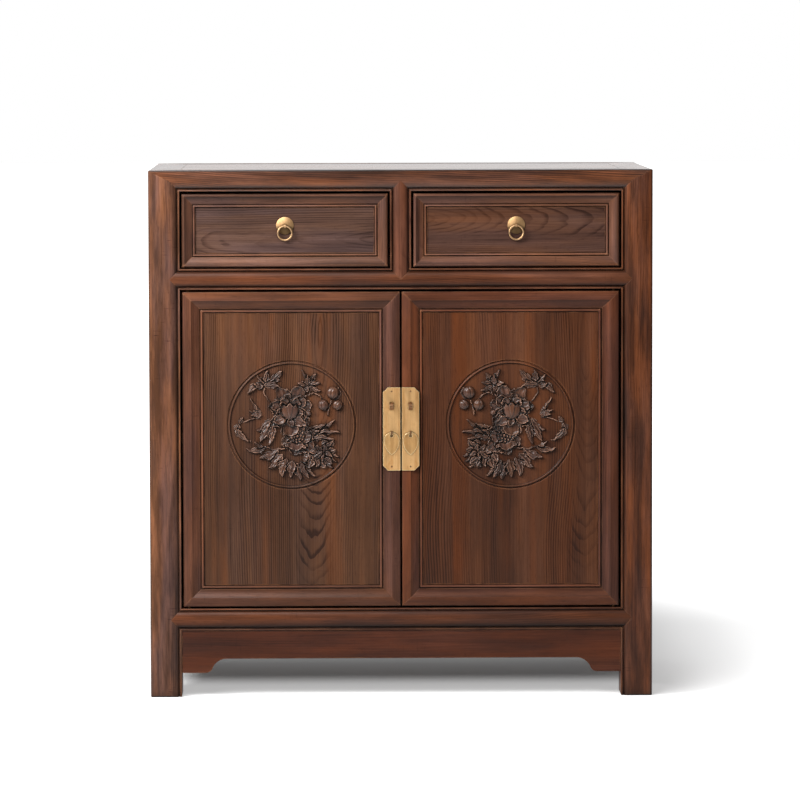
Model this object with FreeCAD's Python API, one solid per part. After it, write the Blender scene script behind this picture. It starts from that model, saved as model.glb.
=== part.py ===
import FreeCAD, Part
import math
import os

os.makedirs("parts", exist_ok=True)
Vec = FreeCAD.Vector

# Carcass, in millimetres: the front faces -Y, +X is to the right, +Z is up
cabinet_width = 800.0
cabinet_height = 840.0
cabinet_depth = 400.0
leg_width = 50.0
top_rail_height = 34.0
drawer_opening_height = 122.0
mid_rail_height = 34.0
bottom_rail_height = 36.0
foot_height = 106.0
divider_width = 34.0
rail_depth = 36.0
back_rail_depth = 26.0

# Moulding along every opening: a bead, a groove, then a swell that rises to the crown
bead_width = 3.5
bead_set_back = 3.0
groove_width = 1.5
groove_depth = 6.0
leg_round = 4.5
foot_round = 2.5
top_edge_round = 2.0

# Joints of the frame
shoulder_depth = 10.0
tenon_length = 16.5
tenon_front = 14.0
tenon_thickness = 12.0
tenon_margin = 6.0
corner_tenon_width = 16.0
corner_tenon_cover = 10.0
small_tenon_length = 8.0
small_tenon_margin = 4.0
fit_gap = 0.3
panel_gap = 0.6
overrun = 5.0

# Top panel and the battens under it
top_panel_thickness = 14.0
top_tongue_drop = 5.0
top_tongue_thickness = 5.0
tongue_length = 8.0
batten_width = 30.0
batten_height = 18.0
batten_spacing = 300.0

# Side and back panels
panel_recess = 10.0
panel_thickness = 12.0
panel_tongue_set_back = 3.0
panel_tongue_thickness = 6.0

# Apron with scrolled ends
apron_set_back = 5.0
apron_thickness = 12.0
apron_depth = 45.0
spandrel_drop = 22.5
spandrel_length = 38.0
scroll_width = 33.0
scroll_toe_share = 0.31
apron_tongue = 5.0
apron_tongue_thickness = 6.0
apron_tongue_set_back = 3.0

# Floor, shelf, bearers and runners
board_thickness = 12.0
shelf_thickness = 14.0
shelf_height = 396.0
bearer_size = 18.0
runner_height = 22.0
runner_width = 25.0
guide_height = 15.0
guide_gap = 0.5

# Doors
face_set_back = 2.0
door_thickness = 24.0
door_side_gap = 3.0
door_centre_gap = 2.5
door_end_gap = 3.0
door_frame_width = 33.0
door_flat_width = 14.0
door_bead_width = 4.5
door_edge_round = 1.2
hinge_front_round = 3.0
hinge_rear_round = 8.0
pivot_inset = 9.0
pivot_depth = 8.0
pivot_radius = 2.5
pivot_clearance = 0.08
pivot_in_door = 14.0
pivot_in_rail = 9.0
door_tenon_depth = 13.0
door_tenon_thickness = 6.0
door_tenon_inset = 10.0
door_tenon_margin = 8.0
door_panel_recess = 6.5
door_panel_thickness = 11.5

# Carved roundel on each door panel
roundel_height = 434.6
roundel_radius = 101.0
roundel_bead_width = 4.0
roundel_bead_height = 2.4
roundel_groove_width = 2.0
roundel_ground_depth = 1.6

# Drawers
drawer_side_gap = 3.0
drawer_top_gap = 3.5
drawer_bottom_gap = 2.0
drawer_rear_gap = 27.0
drawer_frame_width = 21.0
drawer_frame_thickness = 20.0
drawer_flat_width = 4.0
drawer_bead_width = 3.5
drawer_edge_round = 2.4
drawer_panel_recess = 7.0
drawer_panel_thickness = 8.0
drawer_panel_tongue = 5.0
drawer_side_thickness = 12.0
drawer_side_height = 90.0
drawer_side_inset = 4.0
drawer_side_housing = 5.0
drawer_back_thickness = 10.0
drawer_back_height = 82.0
drawer_back_set_in = 8.0
drawer_bottom_thickness = 5.0
drawer_bottom_rise = 6.0
drawer_groove_depth = 4.0

# Drawer pulls: a domed rosette with an eye and a hanging ring
rosette_radius = 14.0
rosette_rim = 0.9
rosette_dome = 3.4
rosette_rise = 7.5
eye_drop = 0.4
eye_shank_radius = 1.3
eye_width = 3.0
eye_wall = 1.1
ring_wire_radius = 1.5
ring_radius = 11.05
ring_clearance = 0.2
clench_length = 6.0
clench_thickness = 1.0

# Lock plates, staples and leaf-shaped pulls
lock_plate_width = 27.5
lock_plate_height = 132.4
lock_plate_thickness = 1.5
lock_plate_corner = 7.5
lock_plate_centre_height = 428.3
lock_staple_height = 465.0
lock_staple_width = 6.0
lock_staple_wall = 2.8
lock_hole_radius = 2.7
lock_hole_reach = 3.4
pull_pivot_height = 421.9
pull_eye_width = 2.4
pull_eye_wall = 1.3
pull_eye_radius = 1.8
pull_pivot_reach = 2.2
pull_width = 24.5
pull_height = 36.0
pull_thickness = 1.8
pull_bar_height = 2.6
pull_hole_radius = 2.6
pull_widest_share = 0.37
pull_cheek_across_share = 0.77
pull_cheek_down_share = 0.70
frame_hollow_share = 0.66
frame_bead_top_share = 0.75
frame_groove_share = 0.8
rosette_swell_share = 0.75
plate_corner_shares = ((1.0, 0.0), (0.66, 0.36), (0.56, 0.56), (0.36, 0.66), (0.0, 1.0))

# Levels and places that follow from the sizes above
edge_width = bead_width + groove_width
opening_width = cabinet_width - 2 * leg_width
side_opening = cabinet_depth - 2 * leg_width
top_rail_level = cabinet_height - top_rail_height
mid_rail_level = top_rail_level - drawer_opening_height - mid_rail_height
drawer_opening_level = mid_rail_level + mid_rail_height
door_opening_level = foot_height + bottom_rail_height
door_opening_height = mid_rail_level - door_opening_level
corner_rise = top_rail_height / 2 - edge_width
leg_crown = edge_width + corner_rise
hardware_proud = pull_pivot_reach + pull_eye_radius + pull_eye_wall + lock_plate_thickness - face_set_back
lock_proud = lock_hole_reach + lock_hole_radius + lock_staple_wall + lock_plate_thickness - face_set_back
front_proud = max(hardware_proud, lock_proud)
front_y = front_proud / 2 - cabinet_depth / 2
back_y = front_y + cabinet_depth
middle_y = (front_y + back_y) / 2
side_x = cabinet_width / 2
drawer_length = cabinet_depth - face_set_back - back_rail_depth - drawer_rear_gap


def line(start, end):
    return Part.LineSegment(start, end).toShape()


def arc(start, middle, end):
    return Part.Arc(start, middle, end).toShape()


def quarter_ellipse(centre, start, end):
    near, far = sorted((start, end), key=lambda point: (point - centre).Length)
    return Part.ArcOfEllipse(Part.Ellipse(far, near, centre), 0, math.pi / 2).toShape()


def box(x0, x1, y0, y1, z0, z1):
    return Part.makeBox(x1 - x0, y1 - y0, z1 - z0, Vec(x0, y0, z0))


def extrude(edges, direction):
    wire = Part.Wire(Part.sortEdges(edges)[0])
    return Part.Face(wire).extrude(direction)


def prism(points, direction):
    return Part.Face(Part.makePolygon(points + [points[0]])).extrude(direction)


def revolved(edges, centre):
    """A solid of revolution about an axis along Y."""
    wire = Part.Wire(Part.sortEdges(edges)[0])
    solid = Part.Face(wire).revolve(centre, Vec(0, 1, 0), math.degrees(2 * math.pi))
    if solid.Volume < 0:
        solid.reverse()
    return solid


def joined(first, *others):
    return first.fuse(list(others)).removeSplitter()


def mirrored(shape):
    return shape.mirror(Vec(0, 0, 0), Vec(1, 0, 0))


def place(shape, side, level):
    """Stand a member that was made facing -Y on one side of the carcass."""
    quarter = {"front": 0, "right": 1, "back": 2, "left": 3}[side]
    spot = {
        "front": Vec(0, front_y, level),
        "right": Vec(side_x, middle_y, level),
        "back": Vec(0, back_y, level),
        "left": Vec(-side_x, middle_y, level),
    }[side]
    return shape.rotated(Vec(0, 0, 0), Vec(0, 0, 1), quarter * math.degrees(math.pi / 2)).translated(spot)


def save(node, *solids):
    shape = solids[0] if len(solids) == 1 else Part.makeCompound(list(solids))
    shape.exportStep("parts/" + node + ".step")


# Mouldings of the frame
def moulding(corner, across, inward, rise):
    """Edges from the opening's side, over bead and groove, up to the crown of the face."""

    def point(over, deep):
        return corner + across * over + inward * deep

    bead_radius = bead_width / 2
    bead_foot = bead_set_back + bead_radius
    crown = edge_width + rise
    return [
        arc(point(0, bead_foot), point(bead_radius, bead_set_back), point(bead_width, bead_foot)),
        line(point(bead_width, bead_foot), point(bead_width, groove_depth)),
        line(point(bead_width, groove_depth), point(edge_width, groove_depth)),
        quarter_ellipse(point(crown, groove_depth), point(edge_width, groove_depth), point(crown, 0)),
    ]


def moulded_bar(length, height, depth, moulded_above):
    """A bar along X, its crown at y = 0, moulded below and, where both edges show, above."""
    x = -length / 2
    rise = height / 2 - edge_width
    bead_foot = bead_set_back + bead_width / 2
    edges = moulding(Vec(x, 0, 0), Vec(0, 0, 1), Vec(0, 1, 0), rise)
    if moulded_above:
        edges += moulding(Vec(x, 0, height), Vec(0, 0, -1), Vec(0, 1, 0), rise)
        above = Vec(x, bead_foot, height)
    else:
        radius = top_edge_round
        near = radius * (1 - math.sqrt(0.5))
        edges.append(line(Vec(x, 0, height / 2), Vec(x, 0, height - radius)))
        edges.append(arc(Vec(x, 0, height - radius), Vec(x, near, height - near), Vec(x, radius, height)))
        above = Vec(x, radius, height)
    edges.append(line(above, Vec(x, depth, height)))
    edges.append(line(Vec(x, depth, height), Vec(x, depth, 0)))
    edges.append(line(Vec(x, depth, 0), Vec(x, bead_foot, 0)))
    return extrude(edges, Vec(length, 0, 0))


# Rails with pointed shoulders, which follow the mouldings of the member that they enter
def pointed_front(length, height, reach_left, reach_right):
    half = length / 2
    outline = [
        (-half, 0),
        (half, 0),
        (half + edge_width, edge_width),
        (half + reach_right, height / 2),
        (half + edge_width, height - edge_width),
        (half, height),
        (-half, height),
        (-half - edge_width, height - edge_width),
        (-half - reach_left, height / 2),
        (-half - edge_width, edge_width),
    ]
    points = [Vec(x, -overrun, z) for x, z in outline]
    return prism(points, Vec(0, shoulder_depth + overrun, 0))


def tenon_bar(length, height, reach, front, thickness, margin):
    half = length / 2 + reach
    return box(-half, half, front, front + thickness, margin, height - margin)


def pointed_rail(length, height, depth, reach_left, reach_right):
    """A moulded rail and the shape of its joints, both with the opening's corner at z = 0."""
    longest = length + 2 * max(reach_left, reach_right) + 2 * overrun
    front = pointed_front(length, height, reach_left, reach_right)
    square = box(-length / 2, length / 2, -overrun, depth + overrun, -overrun, height + overrun)
    tenons = tenon_bar(length, height, tenon_length, tenon_front, tenon_thickness, tenon_margin)
    bar = moulded_bar(longest, height, depth, True).common(square.fuse(front))
    return joined(bar, tenons), Part.makeCompound([front, tenons])


def plain_rail(length, height, depth):
    """A flat rail for the back, and the shape of its tenons."""
    front = (depth - tenon_thickness) / 2
    tenons = tenon_bar(length, height, tenon_length, front, tenon_thickness, tenon_margin)
    return joined(box(-length / 2, length / 2, 0, depth, 0, height), tenons), tenons


# Legs and the mitred top frame: three members meet at each top corner
def mitre_line(length):
    """Points of the corner mitre at the left end, as seen from outside: it bends at the crown."""
    half = length / 2
    return [
        (-half, top_rail_height),
        (-half + leg_width - leg_crown, leg_crown),
        (-half + leg_width, 0),
    ]


def leg_column(moulded_front):
    """A leg with its outer corner at the origin, u along +X and v along +Y from there."""
    bead_foot = bead_set_back + bead_width / 2
    near = leg_round * (1 - math.sqrt(0.5))
    edges = moulding(Vec(0, leg_width, 0), Vec(0, -1, 0), Vec(1, 0, 0), corner_rise)
    edges.append(line(Vec(0, leg_width - leg_crown, 0), Vec(0, leg_round, 0)))
    edges.append(arc(Vec(0, leg_round, 0), Vec(near, near, 0), Vec(leg_round, 0, 0)))
    edges.append(line(Vec(bead_foot, leg_width, 0), Vec(leg_width, leg_width, 0)))
    if moulded_front:
        edges += moulding(Vec(leg_width, 0, 0), Vec(-1, 0, 0), Vec(0, 1, 0), corner_rise)
        edges.append(line(Vec(leg_round, 0, 0), Vec(leg_width - leg_crown, 0, 0)))
        edges.append(line(Vec(leg_width, bead_foot, 0), Vec(leg_width, leg_width, 0)))
    else:
        edges.append(line(Vec(leg_round, 0, 0), Vec(leg_width, 0, 0)))
        edges.append(line(Vec(leg_width, 0, 0), Vec(leg_width, leg_width, 0)))
    column = extrude(edges, Vec(0, 0, cabinet_height))
    foot = Part.makeBox(leg_width, leg_width, cabinet_height)
    foot_edges = [edge for edge in foot.Edges if edge.BoundBox.ZMax < overrun]
    return column.common(foot.makeFillet(foot_round, foot_edges))


def corner_tenon(gap):
    low = (leg_width - corner_tenon_width) / 2 - gap
    high = (leg_width + corner_tenon_width) / 2 + gap
    return box(low, high, low, high, top_rail_level, cabinet_height - corner_tenon_cover + gap)


def leg(moulded_front):
    """The leg keeps what lies below both mitres, and a stub tenon stands up from it."""
    rail_zone = [
        (0, cabinet_height),
        (leg_width - leg_crown, top_rail_level + leg_crown),
        (leg_width, top_rail_level),
        (leg_width + overrun, top_rail_level),
        (leg_width + overrun, cabinet_height + overrun),
        (0, cabinet_height + overrun),
    ]
    reach = leg_width + 2 * overrun
    over_front = prism([Vec(u, -overrun, z) for u, z in rail_zone], Vec(0, reach, 0))
    over_side = prism([Vec(-overrun, v, z) for v, z in rail_zone], Vec(reach, 0, 0))
    return joined(leg_column(moulded_front).cut([over_front, over_side]), corner_tenon(0))


def top_rail(length, moulded):
    """A member of the top frame, mitred to the leg in front view and to its neighbour in top view."""
    if moulded:
        bar = moulded_bar(length, top_rail_height, leg_width, False)
    else:
        bar = box(-length / 2, length / 2, 0, leg_width, 0, top_rail_height)
    half = length / 2
    in_front = [Vec(x, -overrun, z) for x, z in mitre_line(length)]
    in_front.append(Vec(-half + leg_width, -overrun, -overrun))
    in_front.append(Vec(-half - overrun, -overrun, -overrun))
    in_front.append(Vec(-half - overrun, -overrun, top_rail_height))
    from_above = [
        Vec(-half, 0, -overrun),
        Vec(-half + leg_width + overrun, leg_width + overrun, -overrun),
        Vec(-half - overrun, leg_width + overrun, -overrun),
        Vec(-half - overrun, 0, -overrun),
    ]
    near = leg_round * (1 - math.sqrt(0.5))
    corner_edges = [
        line(Vec(-half - overrun, -overrun, 0), Vec(-half + leg_round, -overrun, 0)),
        line(Vec(-half + leg_round, -overrun, 0), Vec(-half + leg_round, 0, 0)),
        arc(Vec(-half + leg_round, 0, 0), Vec(-half + near, near, 0), Vec(-half, leg_round, 0)),
        line(Vec(-half, leg_round, 0), Vec(-half - overrun, leg_round, 0)),
        line(Vec(-half - overrun, leg_round, 0), Vec(-half - overrun, -overrun, 0)),
    ]
    corner = extrude(corner_edges, Vec(0, 0, top_rail_height))
    for_leg = prism(in_front, Vec(0, leg_width + 2 * overrun, 0))
    for_neighbour = prism(from_above, Vec(0, 0, top_rail_height + 2 * overrun))
    mortise = corner_tenon(0).translated(Vec(-half, 0, -top_rail_level))
    cuts = [for_leg, for_neighbour, mortise, corner]
    return bar.cut(cuts + [mirrored(cut) for cut in cuts])


# Panels that float in grooves
def framed_panel(width, height, recess, thickness, tongue_front, tongue_thickness, reach):
    """A panel for an opening, and the groove that takes its tongue on all four sides."""
    half = width / 2
    near = half - panel_gap
    field = box(-near, near, recess, recess + thickness, panel_gap, height - panel_gap)
    tip = reach - panel_gap
    tongue_back = tongue_front + tongue_thickness
    tongue = box(-half - tip, half + tip, tongue_front, tongue_back, -tip, height + tip)
    groove = box(-half - reach, half + reach, tongue_front, tongue_back, -reach, height + reach)
    return joined(field, tongue), groove


def carcass_panel(width, height):
    return framed_panel(
        width,
        height,
        panel_recess,
        panel_thickness,
        panel_recess + panel_tongue_set_back,
        panel_tongue_thickness,
        tongue_length,
    )


def make_top_panel():
    half_x = opening_width / 2
    half_y = side_opening / 2
    top = cabinet_height
    tongue_top = top - top_tongue_drop
    tongue_low = tongue_top - top_tongue_thickness
    tip = tongue_length - panel_gap
    near_x = half_x - panel_gap
    near_y = half_y - panel_gap
    field = box(-near_x, near_x, -near_y, near_y, top - top_panel_thickness, top)
    tongue = box(-half_x - tip, half_x + tip, -half_y - tip, half_y + tip, tongue_low, tongue_top)
    reach = tongue_length
    groove = box(-half_x - reach, half_x + reach, -half_y - reach, half_y + reach, tongue_low, tongue_top)
    to_middle = Vec(0, middle_y, 0)
    return joined(field, tongue).translated(to_middle), groove.translated(to_middle)


def make_battens():
    """Battens under the top panel, with stub tenons into the front and back rails."""
    half_y = side_opening / 2
    top = cabinet_height - top_panel_thickness
    solids = []
    for sign in (-1, 1):
        x = sign * batten_spacing / 2
        left = x - batten_width / 2
        right = x + batten_width / 2
        body = box(left, right, -half_y, half_y, top - batten_height, top)
        margin = small_tenon_margin
        tip = half_y + small_tenon_length
        tenon = box(left + margin, right - margin, -tip, tip, top - batten_height + margin, top - margin)
        solids.append(joined(body, tenon).translated(Vec(0, middle_y, 0)))
    return solids


# Apron
def apron(length):
    """A board with a scrolled spandrel at each end, and its groove in the rail and the legs."""
    half = length / 2
    low = foot_height - apron_depth - spandrel_drop
    high = foot_height - apron_depth
    turn = 2 * math.atan2(spandrel_drop, scroll_width)
    radius_sum = scroll_width / math.sin(turn)
    toe = radius_sum * scroll_toe_share
    hollow = radius_sum - toe
    start = half - spandrel_length
    end = start - scroll_width
    y = apron_set_back

    def on_toe(angle):
        return Vec(start - toe * math.sin(angle), y, low + toe * (1 - math.cos(angle)))

    def on_hollow(angle):
        return Vec(end + hollow * math.sin(angle), y, high - hollow * (1 - math.cos(angle)))

    scroll = [
        arc(on_toe(0), on_toe(turn / 2), on_toe(turn)),
        arc(on_hollow(turn), on_hollow(turn / 2), on_hollow(0)),
        line(Vec(half, y, low), on_toe(0)),
        line(Vec(half, y, foot_height), Vec(half, y, low)),
    ]
    edges = scroll + [mirrored(edge) for edge in scroll]
    edges.append(line(on_hollow(0), Vec(-on_hollow(0).x, y, high)))
    edges.append(line(Vec(-half, y, foot_height), Vec(half, y, foot_height)))
    board = extrude(edges, Vec(0, apron_thickness, 0))
    front = apron_set_back + apron_tongue_set_back
    back = front + apron_tongue_thickness
    reach = half + apron_tongue
    tip = reach - fit_gap
    top = foot_height + apron_tongue
    above = box(-tip, tip, front, back, foot_height - apron_tongue, top - fit_gap)
    right = box(half - apron_tongue, tip, front, back, low + apron_tongue, foot_height)
    groove = box(-reach, reach, front, back, low + apron_tongue - fit_gap, top)
    return joined(board, above, right, mirrored(right)), groove


# Inside boards and bearers
def make_floor():
    """The floor lies on the bottom rails, and its front edge is the stop behind the doors."""
    panel_inside = side_x - panel_recess - panel_thickness - fit_gap
    front = front_y + face_set_back + door_thickness + fit_gap
    back = back_y - panel_recess - panel_thickness - fit_gap
    level = door_opening_level
    board = box(-panel_inside, panel_inside, front, back, level, level + board_thickness)
    inner_x = opening_width / 2 - fit_gap
    inner_front = front_y + leg_width + fit_gap
    inner_back = back_y - leg_width - fit_gap
    notches = []
    for sign in (-1, 1):
        low_x = -side_x if sign < 0 else inner_x
        high_x = side_x if sign > 0 else -inner_x
        notches.append(box(low_x, high_x, front_y, inner_front, level - overrun, level + 2 * board_thickness))
        notches.append(box(low_x, high_x, inner_back, back_y, level - overrun, level + 2 * board_thickness))
    return board.cut(notches)


def make_shelf():
    panel_inside = side_x - panel_recess - panel_thickness - fit_gap
    front = front_y + leg_width + fit_gap
    back = back_y - leg_width - fit_gap
    return box(-panel_inside, panel_inside, front, back, shelf_height, shelf_height + shelf_thickness)


def make_bearers():
    """Bars between the legs that carry the shelf, with stub tenons into the legs."""
    outer = side_x - panel_recess - panel_thickness
    inner = outer - bearer_size
    low = shelf_height - bearer_size
    body = box(-outer, -inner, front_y + leg_width, back_y - leg_width, low, shelf_height)
    margin = small_tenon_margin
    reach = leg_width - small_tenon_length
    tenon = box(
        -outer + margin, -inner - margin, front_y + reach, back_y - reach, low + margin, shelf_height - margin
    )
    left = joined(body, tenon)
    return [left, mirrored(left)]


def make_runners():
    """Runners under the drawers: one at each side and one in the middle, with guides that stand up."""
    top = drawer_opening_level + drawer_bottom_gap - fit_gap
    low = top - runner_height
    front = front_y + rail_depth
    back = back_y - back_rail_depth
    outer = opening_width / 2
    guide_face = outer - drawer_side_gap - drawer_side_inset + guide_gap
    middle_face = divider_width / 2 + drawer_side_gap + drawer_side_inset - guide_gap
    middle_half = middle_face + runner_width - guide_gap
    margin = small_tenon_margin
    reach = small_tenon_length
    tenon_top = drawer_opening_level - tongue_length - fit_gap

    def runner(x0, x1, rib0, rib1):
        body = box(x0, x1, front, back, low, top)
        rib = box(rib0, rib1, front, back, top, top + guide_height)
        tenon = box(x0 + margin, x1 - margin, front - reach, back + reach, low + margin, tenon_top)
        return joined(body, rib, tenon)

    left = runner(-outer, -outer + runner_width, -outer, -guide_face)
    middle = runner(-middle_half, middle_half, -middle_face, middle_face)
    return [left, middle, mirrored(left)]


# Mitred frames of the doors and drawers
def frame_member(length, width, thickness, flat, bead, edge_round, raised):
    """A moulded member along X, its outer edge at z = 0: a rim, a hollow, a groove and a bead."""

    def point(over, deep):
        return Vec(0, deep, over)

    groove = groove_width * frame_groove_share
    hollow_end = width - bead - groove
    floor = raised + groove
    bead_top = raised * frame_bead_top_share
    bead_foot = bead_top + bead / 2
    near = edge_round * (1 - math.sqrt(0.5))
    hollow_middle = (flat + hollow_end) / 2
    edges = [
        line(point(0, thickness), point(0, edge_round)),
        arc(point(0, edge_round), point(near, near), point(edge_round, 0)),
        line(point(edge_round, 0), point(flat, 0)),
        arc(point(flat, 0), point(hollow_middle, raised * frame_hollow_share), point(hollow_end, raised)),
        line(point(hollow_end, raised), point(hollow_end, floor)),
        line(point(hollow_end, floor), point(width - bead, floor)),
        line(point(width - bead, floor), point(width - bead, bead_foot)),
        arc(point(width - bead, bead_foot), point(width - bead / 2, bead_top), point(width, bead_foot)),
        line(point(width, bead_foot), point(width, thickness)),
        line(point(width, thickness), point(0, thickness)),
    ]
    bar = extrude(edges, Vec(length, 0, 0))
    mitre = [(0, 0), (length, 0), (length - width, width), (width, width)]
    between = prism([Vec(x, -overrun, z) for x, z in mitre], Vec(0, thickness + 2 * overrun, 0))
    return bar.common(between)


def mitred_frame(width, height, member):
    """Bottom, top, left and right members of a frame whose lower left corner is the origin."""
    across = member(width)
    upright = member(height)
    origin = Vec(0, 0, 0)
    quarter = math.degrees(math.pi / 2)
    top = across.rotated(origin, Vec(0, 1, 0), 2 * quarter).translated(Vec(width, 0, height))
    left = upright.rotated(origin, Vec(0, 1, 0), quarter).translated(Vec(0, 0, height))
    right = upright.rotated(origin, Vec(0, 1, 0), -quarter).translated(Vec(width, 0, 0))
    return across, top, left, right


# Doors, made with the hinge edge at x = 0 and the lower edge at z = 0
door_width = (opening_width - 2 * door_side_gap - door_centre_gap) / 2
door_height = door_opening_height - 2 * door_end_gap
door_level = door_opening_level + door_end_gap
plate_centre_x = door_width - lock_plate_width / 2


def door_envelope():
    """The plan of the door, its hinge edge rounded so that it clears the leg and the floor as it turns."""
    half_root = 1 - math.sqrt(0.5)
    front = hinge_front_round
    rear = hinge_rear_round
    deep = door_thickness
    edges = [
        line(Vec(door_width, 0, 0), Vec(front, 0, 0)),
        arc(Vec(front, 0, 0), Vec(front * half_root, front * half_root, 0), Vec(0, front, 0)),
        line(Vec(0, front, 0), Vec(0, deep - rear, 0)),
        arc(Vec(0, deep - rear, 0), Vec(rear * half_root, deep - rear * half_root, 0), Vec(rear, deep, 0)),
        line(Vec(rear, deep, 0), Vec(door_width, deep, 0)),
        line(Vec(door_width, deep, 0), Vec(door_width, 0, 0)),
    ]
    return extrude(edges, Vec(0, 0, door_height))


def door_member(length):
    return frame_member(
        length, door_frame_width, door_thickness, door_flat_width, door_bead_width, door_edge_round,
        door_panel_recess - groove_width,
    )


def door_tenons():
    """Tenons of both door rails, which lie in the corners and enter the stiles."""
    low = door_tenon_margin
    high = door_frame_width - door_tenon_margin
    tenons = []
    for z0, z1 in ((low, high), (door_height - high, door_height - low)):
        for x0, x1 in (
            (door_tenon_inset, door_frame_width),
            (door_width - door_frame_width, door_width - door_tenon_inset),
        ):
            tenons.append(box(x0, x1, door_tenon_depth, door_tenon_depth + door_tenon_thickness, z0, z1))
    return tenons


def roundel_ring(centre_x, centre_z, face_y):
    """The ring that frames the carving: the pocket to cut, and the half-round bead that stands in it."""
    pocket_radius = roundel_radius + roundel_groove_width
    axis = Vec(0, 1, 0)
    centre = Vec(centre_x, face_y, centre_z)
    pocket = Part.makeCylinder(pocket_radius, roundel_ground_depth, centre, axis)
    ground = face_y + roundel_ground_depth
    inner = roundel_radius - roundel_bead_width
    middle = roundel_radius - roundel_bead_width / 2
    section = [
        arc(
            Vec(centre_x + inner, ground, centre_z),
            Vec(centre_x + middle, ground - roundel_bead_height, centre_z),
            Vec(centre_x + roundel_radius, ground, centre_z),
        ),
        line(Vec(centre_x + roundel_radius, ground, centre_z), Vec(centre_x + inner, ground, centre_z)),
    ]
    return pocket, revolved(section, centre)


def door_panel():
    width = door_width - 2 * door_frame_width
    height = door_height - 2 * door_frame_width
    tongue_front = door_panel_recess + panel_tongue_set_back
    panel, groove = framed_panel(
        width,
        height,
        door_panel_recess,
        door_panel_thickness,
        tongue_front,
        panel_tongue_thickness,
        tongue_length,
    )
    shift = Vec(door_width / 2, 0, door_frame_width)
    pocket, ring = roundel_ring(door_width / 2, roundel_height - door_level, door_panel_recess)
    return panel.translated(shift).cut(pocket).fuse(ring).removeSplitter(), groove.translated(shift)


def pivot(end_z, outward):
    """A pivot pin in a corner of the door: end_z is the door's end, outward is +1 at the top."""
    start = Vec(pivot_inset, pivot_depth, end_z - outward * pivot_in_door)
    length = pivot_in_door + door_end_gap + pivot_in_rail
    return Part.makeCylinder(pivot_radius, length, start, Vec(0, 0, outward))


def pivot_socket(end_z, outward):
    start = Vec(pivot_inset, pivot_depth, end_z)
    length = door_end_gap + pivot_in_rail + fit_gap
    return Part.makeCylinder(pivot_radius + pivot_clearance, length, start, Vec(0, 0, outward))


def staple(width, radius, wall, reach, height):
    """A staple whose eye runs along X: two prongs go back through plate and stile and are bent over."""
    face = -lock_plate_thickness
    eye_y = face - reach
    outer = radius + wall
    back = door_thickness

    def loop(size, rear):
        start = plate_centre_x - width / 2
        edges = [
            arc(Vec(start, eye_y, -size), Vec(start, eye_y - size, 0), Vec(start, eye_y, size)),
            line(Vec(start, eye_y, size), Vec(start, rear, size)),
            line(Vec(start, rear, size), Vec(start, rear, -size)),
            line(Vec(start, rear, -size), Vec(start, eye_y, -size)),
        ]
        return extrude(edges, Vec(width, 0, 0))

    body = loop(outer, back)
    prong_x0 = plate_centre_x - width / 2
    prong_x1 = plate_centre_x + width / 2
    upper = box(prong_x0, prong_x1, back, back + clench_thickness, radius, outer + clench_length)
    lower = box(prong_x0, prong_x1, back, back + clench_thickness, -outer - clench_length, -radius)
    whole = joined(body.cut(loop(radius, back + overrun)), upper, lower)
    return whole.translated(Vec(0, 0, height - door_level))


def lock_staple():
    """The staple for the lock: a round eye on a post, its prongs bent over behind the stile."""
    face = -lock_plate_thickness
    outer = lock_hole_radius + lock_staple_wall
    start = plate_centre_x - lock_staple_width / 2
    end = plate_centre_x + lock_staple_width / 2
    eye_y = face - lock_hole_reach
    centre = Vec(start, eye_y, 0)
    eye = Part.makeCylinder(outer, lock_staple_width, centre, Vec(1, 0, 0))
    neck = box(start, end, eye_y, door_thickness, -lock_staple_wall, lock_staple_wall)
    root = box(start, end, eye_y, face, -outer, outer)
    tip = outer + clench_length
    clench = box(start, end, door_thickness, door_thickness + clench_thickness, -tip, tip)
    hole = Part.makeCylinder(lock_hole_radius, lock_staple_width, centre, Vec(1, 0, 0))
    return joined(eye, neck, root, clench).cut(hole).translated(Vec(0, 0, lock_staple_height - door_level))


def lock_plate():
    """The plate covers the meeting stile's face, its two outer corners notched."""
    left = door_width - lock_plate_width
    half = lock_plate_height / 2
    upper = [(left + lock_plate_corner * u, half - lock_plate_corner * v) for u, v in plate_corner_shares]
    lower = [(x, -z) for x, z in reversed(upper)]
    outline = [(door_width, half)] + upper + lower + [(door_width, -half)]
    points = [Vec(x, -lock_plate_thickness, z) for x, z in outline]
    plate = prism(points, Vec(0, lock_plate_thickness, 0))
    return plate.translated(Vec(0, 0, lock_plate_centre_height - door_level))


def leaf_pull():
    """A leaf-shaped pull that hangs by the bar above its hole."""
    half = pull_width / 2
    y = -lock_plate_thickness - pull_pivot_reach - pull_thickness / 2
    top = pull_bar_height / 2
    widest = top - pull_height * pull_widest_share
    tip = top - pull_height
    x = plate_centre_x
    cheek_x = half * pull_cheek_across_share
    cheek_z = top - pull_height * pull_cheek_down_share
    edges = [
        quarter_ellipse(Vec(x, y, widest), Vec(x - half, y, widest), Vec(x, y, top)),
        quarter_ellipse(Vec(x, y, widest), Vec(x + half, y, widest), Vec(x, y, top)),
        arc(Vec(x - half, y, widest), Vec(x - cheek_x, y, cheek_z), Vec(x, y, tip)),
        arc(Vec(x + half, y, widest), Vec(x + cheek_x, y, cheek_z), Vec(x, y, tip)),
    ]
    leaf = extrude(edges, Vec(0, pull_thickness, 0))
    hole_z = -top - pull_hole_radius
    hole = Part.makeCylinder(pull_hole_radius, pull_thickness, Vec(x, y, hole_z), Vec(0, 1, 0))
    return leaf.cut(hole).translated(Vec(0, 0, pull_pivot_height - door_level))


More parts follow.
